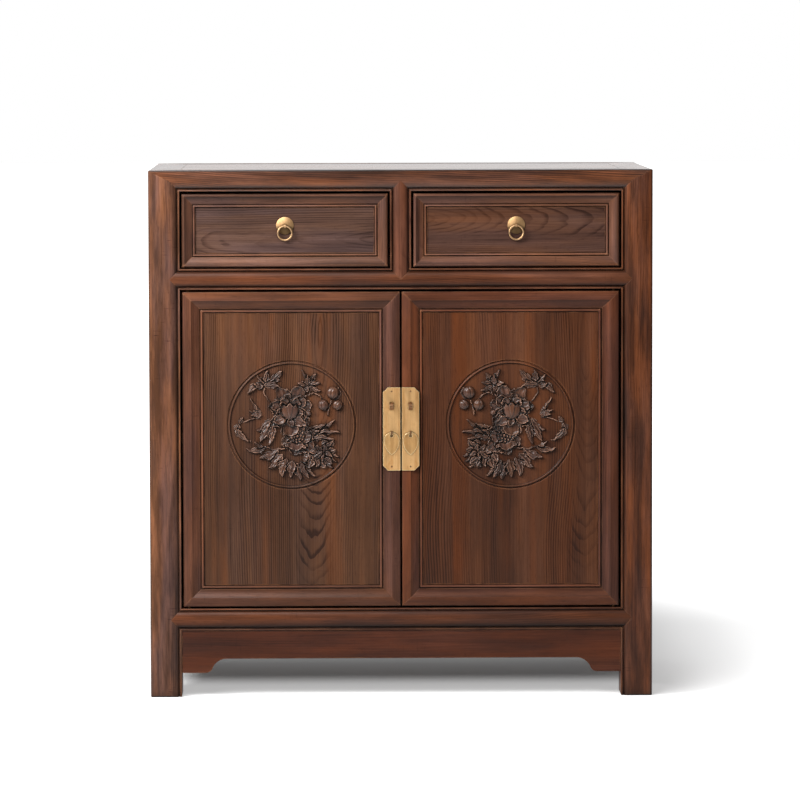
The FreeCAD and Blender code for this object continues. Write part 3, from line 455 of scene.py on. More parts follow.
def worn_fall(tree, from_side, from_end, centre, moulding):
    """Height of a frame's face, in metres: its outer part was rubbed round, but not along its top."""
    level = split(tree, object_place(tree))[2]
    top = times(tree, calculate(tree, "GREATER_THAN", level, centre.z), moulding["crest"])
    depth = calculate(tree, "MINIMUM", from_side, plus(tree, from_end, top))
    share = calculate(tree, "DIVIDE", depth, moulding["crest"], clamp=True)
    short = minus(tree, 1.0, share)
    return times(tree, times(tree, short, short), -moulding["fall"])


def away_from_joints(tree, rounded):
    """None on the slanting edges of a joint, where two pieces meet, and 1 on edges along a member."""
    settings = {"vector_type": "NORMAL", "convert_from": "WORLD", "convert_to": "OBJECT"}
    turned = add(tree, "ShaderNodeVectorTransform", settings, _0=rounded).outputs[0]
    sides = split(tree, vector_math(tree, "ABSOLUTE", turned))
    return remap(tree, calculate(tree, "MINIMUM", sides[0], sides[2]), 0.03, 0.12, 1.0, 0.0)


def finish_wood(material, grain, seed, colours, patina_and_painted_light=None, form=None, **look):
    """The lacquered surface: dirt and painted shade in hollows, painted shade on slopes, undersides and
    tops, edges lightened by wear and painted highlights.
    """
    look = {**PLAIN_LOOK, **look}
    tree = material.node_tree
    figure = add(
        tree, "ShaderNodeGroup", {"node_tree": wood_group}, Place=grain,
        Away=tuple(seed * step for step in SEED_STEPS), **dict(zip(COLOUR_INPUTS, colours)),
        **{name: look[name.lower()] for name in LOOK_INPUTS},
    )
    colour = figure.outputs["Color"]
    if patina_and_painted_light:
        colour = multiplied(tree, colour, patina_and_painted_light)

    # Painted shade: undersides, tops and slopes are painted darker by the way they face the lamps
    normal = tree.nodes.new("ShaderNodeTexCoord").outputs["Normal"]
    upward = split(tree, normal)[2]
    colour = multiplied(tree, colour, remap(tree, upward, -0.7, 0.0, look["under"], 1.0))
    colour = multiplied(tree, colour, remap(tree, upward, 0.05, 0.4, 1.0, look["over"]))
    sides = split(tree, vector_math(tree, "ABSOLUTE", normal))
    flat = calculate(tree, "MAXIMUM", calculate(tree, "MAXIMUM", sides[0], sides[1]), sides[2])
    colour = multiplied(tree, colour, remap(tree, flat, 0.8, 0.995, look["slope"], 1.0))

    # Dirt and painted shade in hollows and between pieces
    hollow = occlusion(tree, look["reach"])
    dirt = remap(tree, hollow, look["open"] - 0.7, look["open"], look["dirt"], 1.0)
    colour = multiplied(tree, colour, dirt)

    # Edges lightened by wear and by painted highlights
    edge = remap(tree, sharpness(tree, look["rim"]), 0.92, 0.5, 0.0, look["worn"])
    edge = times(tree, edge, noise(tree, grain, "wear_and_highlight_zones"))
    edge = times(tree, edge, remap(tree, hollow, 0.35, 0.7))
    rounded = bevel(tree, WOOD_EDGE)
    if look["joints"]:
        edge = times(tree, edge, away_from_joints(tree, rounded))
    colour = blend_colours(tree, edge, colour, look["worn_tone"])

    if form:
        rounded = bump(tree, form, rounded, 1.0)
    raised = bump(tree, figure.outputs["Height"], rounded, GRAIN_DEPTH, look["bump"])
    plug(
        tree, tree.nodes["Principled BSDF"], Base_Color=colour, Roughness=figure.outputs["Roughness"],
        Normal=raised, Specular_IOR_Level=look["satin"], Coat_Weight=look["coat"],
        Coat_Roughness=COAT_ROUGHNESS,
    )
    return material


def new_material(name):
    material = bpy.data.materials.new(name)
    material.use_nodes = True
    return material, material.node_tree


def painted_light_on_bead(tree, patina_and_painted_light, centre):
    """Painted light on the bead round a carved roundel, and most in the groove outside it."""
    moved = vector_math(tree, "SUBTRACT", object_place(tree), centre)
    away = vector_math(tree, "LENGTH", vector_math(tree, "MULTIPLY", moved, (1.0, 0.0, 1.0)))
    bead = remap(tree, away, BEAD_FOOT, BEAD_FOOT + MILLIMETRE, 0.0, BEAD_PAINTED_LIGHT)
    groove = remap(tree, away, BEAD_SIDE, BEAD_SIDE + MILLIMETRE, 0.0, GROOVE_PAINTED_LIGHT)
    ended = remap(tree, away, GROOVE_END, GROOVE_END + GROOVE_EDGE, 1.0, 0.0)
    bead_light = times(tree, plus(tree, bead, groove), ended)
    in_front = calculate(tree, "LESS_THAN", split(tree, moved)[1], FACE_DEPTH)
    return times(tree, patina_and_painted_light, plus(tree, times(tree, bead_light, in_front), 1.0))


def wood(name, along, seed, colours, pith=PITH, skew=0.0, levels=None, roundel=None, **look):
    """Wood of a plain piece. Its levels: two heights, and how light its colour is painted at each of them.
    """
    material, tree = new_material(name)
    patina_and_painted_light = remap(tree, split(tree, object_place(tree))[2], *levels) if levels else None
    if roundel:
        patina_and_painted_light = painted_light_on_bead(tree, patina_and_painted_light, roundel)
    return finish_wood(
        material, turned_grain(tree, along, pith, skew), seed, colours, patina_and_painted_light=patina_and_painted_light, **look,
    )


def frame_wood(name, low, high, along, seed, colours, moulding):
    """Wood of a moulded frame between two corners. Without a direction, its grain turns at the mitres."""
    material, tree = new_material(name)
    half = (high - low) / 2
    centre = (low + high) / 2
    from_side, from_end = from_edges(tree, centre, half)
    grain = turned_grain(tree, along, PITH) if along else mitred_grain(tree, from_side, from_end)
    patina_and_painted_light = frame_painted_shading(tree, calculate(tree, "MINIMUM", from_side, from_end), moulding)
    form = worn_fall(tree, from_side, from_end, centre, moulding)
    return finish_wood(material, grain, seed, colours, patina_and_painted_light=patina_and_painted_light, form=form)


RIM_HIGHLIGHT_TONE = tone(255, 228, 176)


def metal(name, colour, dull, seed, roughness=0.34, rim=0.0, levels=None):
    """Brass brushed up and down, tarnished and painted in shade in its corners. Its rim may carry a painted
    highlight, and its lower part painted shade.
    """
    material, tree = new_material(name)
    place = object_place(tree)
    moved = vector_math(tree, "ADD", place, (seed, seed, seed))
    brushed = noise(tree, moved, "brushing")
    blotches = noise(tree, moved, "dull_blotches")
    share = times(tree, remap(tree, brushed, 0.35, 0.75), 0.35)
    share = plus(tree, share, times(tree, noise(tree, moved, "dull_zones"), 0.5))
    share = plus(tree, share, times(tree, remap(tree, blotches, 0.52, 0.75), 0.4))
    mixed = blend_colours(tree, share, colour, dull)
    dirt = remap(tree, occlusion(tree, TARNISH_AND_SHADE_REACH), 0.3, 0.92, 0.15, 1.0)
    mixed = multiplied(tree, mixed, dirt)
    if levels:
        mixed = multiplied(tree, mixed, remap(tree, split(tree, place)[2], *levels))
    if rim:
        mixed = blend_colours(tree, remap(tree, sharpness(tree, rim), 0.9, 0.62), mixed, RIM_HIGHLIGHT_TONE)
    rough = remap(tree, blotches, 0.3, 0.7, roughness, roughness + 0.12)
    raised = bump(tree, brushed, bevel(tree, BRASS_EDGE), BRUSH_DEPTH, 0.25)
    plug(
        tree, tree.nodes["Principled BSDF"], Metallic=1.0, Base_Color=mixed, Roughness=rough, Normal=raised,
    )
    return material


# Brass: the plates and leaves, then the rosettes, rings, staples and pins
ROSETTE_LEVEL = sum(corner.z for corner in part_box("drawer_left_rosette")) / 2
# Painted highlights on the rims of the plates and the leaves
brass = metal("brass_plate", tone(236, 190, 132), tone(196, 142, 86), 0.3, rim=0.0009)
leaf_brass = metal("brass_leaf", tone(230, 184, 124), tone(196, 144, 88), 4.1, 0.3, rim=0.0014)
# Painted shade and dark reflection on the rosette's lower part, under the ring
rosette_brass = metal(
    "brass_rosette", tone(192, 154, 110), tone(162, 124, 84), 1.7, 0.42,
    levels=(ROSETTE_LEVEL - 0.006, ROSETTE_LEVEL + 0.001, 0.24, 1.0),
)
ring_brass = metal("brass_ring", tone(198, 162, 122), tone(154, 118, 82), 3.3, 0.38)
dark_brass = metal("brass_dark", tone(132, 98, 70), tone(92, 66, 48), 2.9, 0.42)

# Woods of the plain pieces
# Left legs painted lighter, as lit from the left; right legs painted darker, as in shade
left_leg_wood = wood("left_leg_wood", "Z", 1.0, LIT_LEG_LACQUER, blotches=1.0, marks=1.0)
right_leg_wood = wood("right_leg_wood", "Z", 1.6, SHADED_LEG_LACQUER, blotches=1.0, marks=0.8)
divider_wood = wood("divider_wood", "Z", 2.2, SIDE_LACQUER)
rail_wood = wood("rail_wood", "X", 2.0, RAIL_LACQUER)
top_rail_wood = wood(
    "top_rail_wood", "X", 2.6, LACQUER, skew=0.035, coat=0.6, streaks=0.95, lines=1.2, blotches=0.8,
    worn=0.15, levels=(TOP_LEVEL - 0.0032, TOP_LEVEL - 0.0008, 1.0, 0.35),
)
side_rail_wood = wood("side_rail_wood", "Y", 3.0, SIDE_LACQUER)
top_side_wood = wood("top_side_wood", "Y", 3.4, SIDE_LACQUER, coat=1.0)
# Painted shade: the bottom rail is painted darker towards its bottom, as if lit from above
low_rail_wood = wood(
    "low_rail_wood", "X", 4.0, LOW_LACQUER,
    levels=(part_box("bottom_rail_front")[0].z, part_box("bottom_rail_front")[1].z, 0.55, 1.15),
)
apron_wood = wood("apron_wood", "X", 9.0, DEEP_LACQUER)
side_apron_wood = wood("side_apron_wood", "Y", 10.0, DEEP_LACQUER)
side_panel_wood = wood("side_panel_wood", "Z", 11.0, SIDE_PANEL_LACQUER, streaks=0.6, lines=0.6)
back_wood = wood("back_wood", "Z", 12.0, DEEP_LACQUER, satin=0.1)
top_wood = wood("top_wood", "X", 13.0, SIDE_LACQUER, streaks=0.5, coat=1.0)
raw_wood = wood("raw_wood", "X", 14.0, RAW_WOOD, bump=0.6, worn=0.1, slope=1.0, blotches=0.1)
raw_side_wood = wood("raw_side_wood", "Y", 15.0, RAW_WOOD, bump=0.6, worn=0.1, slope=1.0, blotches=0.1)
# Carving: strong painted shade in its crevices, on slopes and undersides, and painted highlights on its rims
carved_wood = wood(
    "carved_wood", "Z", 16.0, CARVED_LACQUER, lines=0.3, marks=0.0, coat=0.5, dirt=0.0, reach=0.008,
    open=1.12, worn=0.65, rim=0.0019, worn_tone=tone(196, 148, 122), slope=0.7, under=0.7, over=1.0,
    joints=False,
)


def roundel_centre(side):
    """The middle of a door's roundel, on the panel's front."""
    low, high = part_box("door_" + side + "_panel")
    return Vector(((low.x + high.x) / 2, low.y, ROUNDEL_HEIGHT))


def panel_wood(name, along, seed, colours, pith, rings, lean, **more):
    """Wood of a framed panel: straight lines, with arches where its pith lies near."""
    return wood(
        name, along, seed, colours, pith, streaks=0.5, rings=rings, lines=1.0, lean=lean, blotches=0.15,
        marks=0.2, reach=0.011, dirt=0.1, **more,
    )


door_panel_woods = {
    side: panel_wood(
        "door_panel_wood_" + side, "Z", seed, DOOR_PANEL_LACQUERS[side], pith, rings, lean,
        levels=DOOR_PANEL_PAINTED_LIGHT, roundel=roundel_centre(side),
    )
    for side, seed, pith, rings, lean in (
        ("left", 7.0, (-0.131, -0.165, 0.52), 0.9, 0.34),
        ("right", 8.4, (0.293, -0.16, 0.5), 0.35, 0.3),
    )
}
drawer_panel_woods = {
    side: panel_wood(
        "drawer_panel_wood_" + side, "X", seed, DRAWER_PANEL_LACQUERS[side], pith, rings, lean,
    )
    for side, seed, pith, rings, lean in (
        ("left", 8.0, (-0.2, -0.155, 0.734), 0.5, 0.2),
        ("right", 9.5, (0.12, -0.15, 0.762), 0.65, -0.3),
    )
}


def dress(groups, prefix=""):
    """Puts materials on CAD nodes. A group: a material, then its nodes' names after the prefix."""
    for material, *names in groups:
        for name in names:
            node = nodes[prefix + name]
            for slot in node.material_slots:
                slot.link = "OBJECT"
                slot.material = material
            if not node.material_slots:
                node.data.materials.append(material)


def door_corners(door):
    """The two corners of a door's frame."""
    boxes = [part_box(door + part) for part in ("hinge_stile", "meeting_stile")]
    low = Vector([min(box[0][axis] for box in boxes) for axis in range(3)])
    high = Vector([max(box[1][axis] for box in boxes) for axis in range(3)])
    return low, high


def dress_all():
    """Every CAD node gets its material, by the way its grain runs in the real piece."""
    dress((
        (left_leg_wood, "leg_front_left", "leg_back_left"),
        (right_leg_wood, "leg_front_right", "leg_back_right"),
        (divider_wood, "drawer_divider"),
        (top_rail_wood, "top_rail_front"),
        (top_side_wood, "top_rail_left", "top_rail_right"),
        (top_wood, "top_panel"),
        (rail_wood, "top_rail_back", "mid_rail_front"),
        (low_rail_wood, "bottom_rail_front"),
        (side_rail_wood, "mid_side_rails", "bottom_side_rails"),
        (apron_wood, "apron_front", "mid_rail_back", "bottom_rail_back"),
        (side_apron_wood, "side_aprons"),
        (side_panel_wood, "side_panels_left", "side_panels_right"),
        (back_wood, "back_panels"),
        (raw_wood, "cabinet_floor", "shelf"),
        (raw_side_wood, "shelf_bearers", "top_battens", "drawer_runners"),
    ))
    for side in ("left", "right"):
        door = "door_" + side + "_"
        low, high = door_corners(door)
        seed = 5.0 + len(side)
        stile = frame_wood(door + "stile_wood", low, high, "Z", seed, DOOR_LACQUERS[side], DOOR_MOULDING)
        rail = frame_wood(door + "rail_wood", low, high, "X", seed + 2.3, DOOR_LACQUERS[side], DOOR_MOULDING)
        dress((
            (stile, "hinge_stile", "meeting_stile"),
            (rail, "top_rail", "bottom_rail"),
            (door_panel_woods[side], "panel"),
            (brass, "lock_plate"),
            (leaf_brass, "pull"),
            (dark_brass, "pivot_pins", "staples"),
        ), door)
        drawer = "drawer_" + side + "_"
        front = drawer + "front_frame"
        low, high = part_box(front)
        mitred = frame_wood(
            front + "_wood", low, high, None, 17.0 + len(side), DRAWER_LACQUERS[side], DRAWER_MOULDING,
        )
        dress((
            (mitred, "front_frame"),
            (drawer_panel_woods[side], "front_panel"),
            (raw_side_wood, "sides"),
            (raw_wood, "back", "bottom"),
            (rosette_brass, "rosette"),
            (ring_brass, "ring_eye", "ring"),
        ), drawer)


dress_all()


# Carved roundels: forms are laid over each other on a grid, like the carver's layers
def smooth(value):
    value = np.clip(value, 0.0, 1.0)
    return value * value * (3.0 - 2.0 * value)


def ridge(distance, width):
    """A round ridge, 1 high, by the distance from its line."""
    return np.exp(-(distance / width) ** 2)


def dome(share):
    """A round dome, 1 high, by the share of the way from its middle to its edge."""
    return np.sqrt(np.clip(1.0 - share ** 2, 0.0, 1.0))


def ruffled(across, up):
    """Places pushed a little to and fro, so that the outlines of all forms wave as if cut by hand."""
    push_across = 0.7 * np.sin(up / 3.1 + 1.3 * np.sin(across / 5.3)) + 0.4 * np.sin(up / 1.7 + across / 4.1)
    push_up = 0.7 * np.sin(across / 2.9 + 1.1 * np.sin(up / 4.7)) + 0.4 * np.sin(across / 1.9 - up / 3.7)
    return across + push_across, up + push_up


def blank_relief():
    """A grid of the roundel: places that are ruffled, heights, and the true places."""
    count = int(CARVING_RADIUS / CARVING_STEP)
    axis = np.arange(-count, count + 1) * CARVING_STEP
    flat_across, flat_up = np.meshgrid(axis, axis)
    across, up = ruffled(flat_across, flat_up)
    height = np.full(across.shape, CARVING_SUNK)
    return {"across": across, "up": up, "height": height, "place": (flat_across, flat_up)}


def lay(relief, inside, level):
    """Lays a form over the relief: inside is how far a point lies within its outline. Round it, a cut."""
    cut = CUT_DEPTH * ridge(inside + CUT_AWAY, CUT_WIDTH)
    below = np.maximum(relief["height"] - cut, np.minimum(relief["height"], 0.1))
    cover = smooth(inside / CARVING_EDGE + 0.5)
    relief["height"] = below * (1.0 - cover) + level * cover


def local_frame(relief, base, tip):
    """Share of the way from base to tip, distance to the side of that line, and the line's length."""
    run_x, run_z = tip[0] - base[0], tip[1] - base[1]
    length = math.hypot(run_x, run_z)
    right, up = relief["across"] - base[0], relief["up"] - base[1]
    along = (right * run_x + up * run_z) / length ** 2
    side = (up * run_x - right * run_z) / length
    return along, side, length


def within(along, side, length, outline):
    """How far a point lies within an outline that runs along a line."""
    outside = np.maximum(np.maximum(-along, along - 1.0), 0.0) * length
    return outline - np.abs(side) - outside


def carve_leaf(relief, base, tip, width, bend, teeth, level):
    """A leaf with a raised rim and midrib, hollow halves, side veins and teeth that point to its tip."""
    along, side, length = local_frame(relief, base, tip)
    part = np.clip(along, 0.0, 1.0)
    side = side - bend * 4.0 * part * (1.0 - part)
    outline = width * LEAF_FULLNESS / 2 * np.sin(np.pi * part ** 0.72) ** 0.8
    if teeth:
        outline = outline * (0.66 + 0.34 * np.mod(part * min(teeth, 3), 1.0))
    inside = within(along, side, length, outline)
    over = np.clip(np.abs(side) / np.maximum(outline, 0.6), 0.0, 1.0)
    surface = level + 0.5 + 1.6 * part ** 2 + side / width * 2.2 - 0.6 * np.sin(np.pi * over)
    surface = surface + 0.8 * ridge(side, 0.8) + 0.9 * ridge(inside - 0.9, 0.8)
    surface = surface - 0.7 * np.abs(np.sin(np.pi * (part * max(teeth, 3) - over * 0.7))) * over
    lay(relief, inside, surface)


def carve_petal(relief, centre, angle, reach, width, level, lip):
    """A cupped petal that opens outwards from the flower's centre, its rim rolled and waved."""
    turn = math.radians(angle)
    tip = (centre[0] + reach * math.cos(turn), centre[1] + reach * math.sin(turn))
    along, side, length = local_frame(relief, centre, tip)
    part = np.clip(along, 0.0, 1.0)
    widening = 0.3 + 0.7 * smooth(part / 0.6)
    rounding = dome(np.clip(part - 0.55, 0.0, 1.0) / 0.45)
    wave = 1.0 + 0.15 * np.sin(side * 6.0 * PETAL_FOLDS / width + angle)
    inside = within(along, side, length, width / 2 * widening * rounding * wave)
    fold = np.sin(side * 2 * PETAL_FOLDS / width * np.pi + angle)
    surface = level + 0.4 + lip * part ** 1.6 + 0.6 * fold * part
    surface = surface - 1.9 * np.clip(inside / 4.5, 0.0, 1.0) * part ** 0.5 + side / width * 1.6
    surface = surface + 1.4 * ridge(inside - 0.9, 0.8)
    lay(relief, inside, np.maximum(surface, 0.2))


def carve_bud(relief, centre, radius, level, rise, turn):
    """A round bud wrapped in two petals, its outline smooth."""
    right, up = relief["place"][0] - centre[0], relief["place"][1] - centre[1]
    cos, sin = math.cos(math.radians(turn)), math.sin(math.radians(turn))
    along, side = right * cos + up * sin, up * cos - right * sin
    away = np.hypot(right, up) / radius
    surface = level + rise * dome(away)
    seam = side - 0.3 * radius * np.cos(along / radius * 1.4)
    second = side + 0.55 * radius * np.cos(along / radius * 1.7)
    surface = surface - 0.9 * ridge(seam, 0.75) - 0.6 * ridge(second, 0.7)
    lay(relief, radius * (1.0 - away), surface)


def carve_tulip(relief, centre, radius, level, rise):
    """A half-open bud: a front petal between two side petals, under a notched rim."""
    right, up = relief["place"][0] - centre[0], relief["place"][1] - centre[1]
    away = np.hypot(right, up * 0.92) / radius
    notches = radius * (0.7 + 0.2 * np.cos(right / radius * 6.6)) - up
    seam = np.abs(right) - 0.5 * radius * np.clip((up + radius) / (2.0 * radius), 0.0, 1.0) ** 0.6
    surface = level + rise * dome(away) - 0.7 * smooth(seam / 1.5)
    surface = surface - 1.1 * ridge(seam, 0.7) + 1.0 * ridge(notches - 1.0, 0.8)
    lay(relief, np.minimum(radius * (1.0 - away), notches), surface)


def carve_stem(relief, start, middle, end, width, level):
    """A round stem along a curve through three points, thinner towards its end."""
    inside = np.full(relief["height"].shape, -1e3)
    surface = np.full(relief["height"].shape, level)
    for share in np.linspace(0.0, 1.0, 60):
        before = (1.0 - share) ** 2
        between = 2.0 * share * (1.0 - share)
        pull = [2.0 * middle[axis] - 0.5 * (start[axis] + end[axis]) for axis in (0, 1)]
        point = [before * start[axis] + between * pull[axis] + share ** 2 * end[axis] for axis in (0, 1)]
        half = width / 2 * (1.0 - 0.35 * share)
        away = np.hypot(relief["across"] - point[0], relief["up"] - point[1])
        nearer = half - away > inside
        swell = level + np.sqrt(np.clip(half ** 2 - away ** 2, 0.0, None)) + 0.2 * math.sin(share * 40.0)
        surface = np.where(nearer, swell, surface)
        inside = np.where(nearer, half - away, inside)
    lay(relief, inside, surface)


# Start, middle and end of each stem, its width and level
STEMS = (
    ((-43.7, 58), (-42, 48), (-34, 38), 2.6, 1.2),
    ((12, 24), (19, 42), (30, 48.8), 4.2, 1.6),
    ((30, 48.8), (41, 49.5), (50, 40), 3.2, 1.6),
    ((57, 17), (60, 28), (64, 42), 3, 1.6),
    ((29, 62), (30, 56), (28.5, 48), 2.8, 1.4),
    ((-50, 12), (-66, 8.5), (-82, 2), 2.4, 1.2),
    ((-84, -4), (-78, -18), (-66, -26), 2.6, 1.4),
    ((-36, 6), (-46, -14), (-52, -34), 2.4, 1),
    ((0, -32), (-20, -38.5), (-42, -35), 3.4, 1.8),
    ((14, -34), (22, -52), (18, -70), 3.2, 1.4),
    ((28, -14), (46, -10), (62, 2), 2.4, 1.4),
)
# Base, tip, width, bend, teeth and level of each leaf
LEAVES = (
    ((46, -50), (76, -50), 8, 1, 6, 0.7),
    ((46, -52), (74, -60), 8, 1, 6, 0.8),
    ((44, -56), (67, -68), 8, -1, 6, 0.9),
    ((-43, 63), (-14, 87), 13, -2, 4, 1.6),
    ((-43, 62), (-70, 50), 11, -6, 4, 1.4),
    ((-44, 62), (-17, 60), 10, 2.5, 4, 1.2),
    ((-43, 66), (-54, 79), 9, 1, 3, 1.8),
    ((-40, 68), (-37, 87), 9, 1.5, 3, 2),
    ((-44, 62), (-60, 66), 7, 1, 3, 1.5),
    ((28, 62), (16, 88), 7, -2, 4, 1.2),
    ((28, 62), (41, 82), 9, 2, 4, 1.6),
    ((28, 61), (46, 66), 9, 2, 3, 1.4),
    ((28, 61), (9, 66), 9, -2.5, 3, 1.8),
    ((28, 60), (12, 53), 8, 1.5, 3, 1.6),
    ((27, 63), (26, 80), 7, 0.5, 3, 2),
    ((28, 60), (47, 55), 8, -1, 3, 1.4),
    ((-48, 18), (-65, 43), 4.5, 1.5, 0, 1),
    ((-48, 18), (-60, 32), 5, -1, 3, 1.4),
    ((-48, 17), (-67, 24), 6, 1, 4, 1.4),
    ((-48, 16), (-66, 16), 6, 0.5, 4, 1.2),
    ((-84, 2), (-88, -16), 9, -2, 3, 1.2),
    ((-86, -6), (-68, -25), 9, -3.5, 5, 1.8),
    ((-82, 2), (-76, 12), 6, 1, 3, 1.2),
    ((-34, 10), (-57, -10), 9, 3.5, 4, 1.6),
    ((-33, 8), (-52, -27), 12, 2, 4, 2),
    ((-30, 2), (-36, -32), 10, 2, 4, 1.8),
    ((-42, -36), (-73, -38), 9, 3.5, 3, 1.4),
    ((-44, -34), (-60, -27), 6, 1, 2, 1.6),
    ((-20, -40), (-51, -52), 13, 2.5, 4, 1.8),
    ((-14, -46), (-36, -69), 13, 1.5, 4, 2),
    ((-8, -54), (-16, -82), 13, -2.5, 4, 2.2),
    ((2, -58), (14, -90), 12, 2, 4, 1.8),
    ((2, -56), (-2, -84), 12, -1, 3, 2.4),
    ((14, -58), (38, -82), 11, -2.5, 4, 2),
    ((14, -60), (28, -86), 8, -1.5, 3, 1.6),
    ((26, -12), (70, 8), 9, -3.5, 5, 1.4),
    ((26, -14), (54, 0), 9, 2, 4, 2.2),
    ((28, -18), (77, -12), 9, 3, 5, 1.6),
    ((30, -22), (68, -24), 9, 2, 4, 1.8),
    ((24, -18), (44, -8), 8, 0.5, 3, 2.6),
)
# Centre, direction and level of each small rounded leaf in the spray at the lower meeting side
LEAFLETS = (
    (54, -30, 20, 1.6), (63, -32, 60, 1.4), (52, -39, 70, 2), (64, -42, 10, 1.6),
    (43, -38, 110, 2.2), (58, -49, -20, 2), (47, -52, -60, 2.4), (28, -45, 120, 2.2),
    (35, -51, -100, 2.4), (49, -64, -50, 1.8), (39, -60, -90, 2.2), (42, -47, 30, 2.8),
    (33, -40, 150, 2.6), (24, -53, -130, 2), (58, -58, -40, 1.5), (30, -62, -110, 1.8),
)
LEAF_FULLNESS = 1.3
PETAL_FOLDS = 3.0
LEAFLET_REACH = 7.2
LEAFLET_WIDTH = 9.5
# The two flowers' centres and their rings of petals, from the outside in: count, first angle, reach, width,
# level and lip
FLOWER = (-2.4, 23.4)
FLOWER_RINGS = (
    (7, 14, 38, 24, 0.8, 1.2),
    (6, 40, 29, 20, 1.6, 1.4),
    (5, 54, 21, 15, 2.4, 1.4),
)
SECOND_FLOWER = (9.6, -19.6)
SECOND_RINGS = ((6, -100, 29, 24, 1, 1.2), (5, -62, 20, 19, 1.8, 1.4))
# Single petals: centre, angle, reach, width, level and lip
SECOND_PETAL = ((SECOND_FLOWER[0] - 2, SECOND_FLOWER[1] - 2), -96, 19, 30, 3, 1.2)
FRONT_PETALS = (
    ((-2.4, 13), 196, 27, 15, 2.6, 0.8),
    ((-1.4, 13), -28, 27, 15, 2.6, 0.8),
    ((-2.4, 12), -82, 15, 12, 2.6, 0.8),
)
# Rings of seeds in the second flower: count, distance from the middle and radius, then their shift upwards
SEED_RINGS = ((11, 8.6, 2.3), (6, 4.4, 2.2), (1, 0, 2.4))
SEEDS_UP = 1.5
# Leaves under the buds, laid out like the others, and the buds: centre, radius, level, rise and turn
SEPALS = (
    ((48, 40), (54, 21), 9, 2, 0, 1.8),
    ((66, 40), (76, 60), 9, -2, 0, 1.4),
)
BUDS = (
    ((27.5, 18.5), 4.4, 1.5, 3, 60),
    ((66, 51), 9.8, 1.5, 4.6, 80),
    ((50.5, 31.5), 8.6, 1.5, 4.4, 100),
    ((73.5, 31.5), 8.2, 1.5, 4.4, 60),
)


def carve_flower(relief, centre, rings):
    for count, first, reach, width, level, lip in rings:
        for number in range(count):
            angle = first + number * 360.0 / count
            varied = 1.0 + 0.1 * math.sin(angle * 0.7 + reach)
            raised = level + 0.3 * (number % 2)
            carve_petal(relief, centre, angle, reach * varied, width * varied, raised, lip)


def carve_seeds(relief):
    for count, reach, radius in SEED_RINGS:
        for number in range(count):
            angle = number * 2.0 * math.pi / count + reach
            right = SECOND_FLOWER[0] + reach * math.cos(angle)
            up = SECOND_FLOWER[1] + SEEDS_UP + reach * math.sin(angle)
            carve_bud(relief, (right, up), radius, 2.6, 1.3, 0.0)


def carve_relief():
    """All forms, each laid over those before it."""
    relief = blank_relief()
    for stem in STEMS:
        carve_stem(relief, *stem)
    for leaf in LEAVES:
        carve_leaf(relief, *leaf)
    for right, up, angle, level in LEAFLETS:
        turn = math.radians(angle)
        reach = (LEAFLET_REACH * math.cos(turn), LEAFLET_REACH * math.sin(turn))
        base = (right - reach[0], up - reach[1])
        tip = (right + reach[0], up + reach[1])
        carve_leaf(relief, base, tip, LEAFLET_WIDTH, 0.6, 0, level)
    carve_flower(relief, SECOND_FLOWER, SECOND_RINGS)
    carve_petal(relief, *SECOND_PETAL)
    carve_seeds(relief)
    carve_flower(relief, FLOWER, FLOWER_RINGS)
    for petal in FRONT_PETALS:
        carve_petal(relief, *petal)
    carve_tulip(relief, FLOWER, 13.0, 2.4, 2.2)
    for sepal in SEPALS:
        carve_leaf(relief, *sepal)
    for bud in BUDS:
        carve_bud(relief, *bud)
    return relief


def smooth_mesh(name, points, faces, material):
    mesh = bpy.data.meshes.new(name)
    mesh.from_pydata(points, [], faces)
    mesh.polygons.foreach_set("use_smooth", [True] * len(mesh.polygons))
    mesh.materials.append(material)
    return mesh


def put(name, data):
    """A new object in the scene."""
    made = bpy.data.objects.new(name, data)
    bpy.context.scene.collection.objects.link(made)
    return made


def relief_mesh(name, relief, centre, ground, side):
    """The part of the grid that stands above the ground, facing -Y. The right door mirrors the left one."""
    height = relief["height"]
    columns = height.shape[1]
    across, up = relief["place"]
    far = np.hypot(across, up) > CARVING_RADIUS
    height = np.where(far, CARVING_SUNK, height * np.where(height > 0.0, CARVING_HEIGHT, 1.0))
    corners = [height[:-1, :-1], height[:-1, 1:], height[1:, 1:], height[1:, :-1]]
    shown_quads = np.argwhere(np.max(corners, axis=0) > CARVING_SUNK / 3)
    order = ((0, 0), (0, 1), (1, 1), (1, 0)) if side < 0 else ((0, 0), (1, 0), (1, 1), (0, 1))
    first = shown_quads[:, 0] * columns + shown_quads[:, 1]
    quads = np.stack([first + row * columns + column for row, column in order], 1)
    used, faces = np.unique(quads, return_inverse=True)
    x = centre.x - side * across.ravel()[used] * MILLIMETRE
    y = ground - height.ravel()[used] * MILLIMETRE
    z = centre.z + up.ravel()[used] * MILLIMETRE
    points = np.stack([x, y, z], 1).tolist()
    return smooth_mesh(name, points, faces.reshape(quads.shape).tolist(), carved_wood)


def make_carvings():
    relief = carve_relief()
    for side, sign in (("left", -1), ("right", 1)):
        centre = roundel_centre(side)
        mesh = relief_mesh("carving_" + side, relief, centre, centre.y + ROUNDEL_BEAD, sign)
        carving = put("carving_" + side, mesh)
        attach(carving, "door_" + side)


make_carvings()


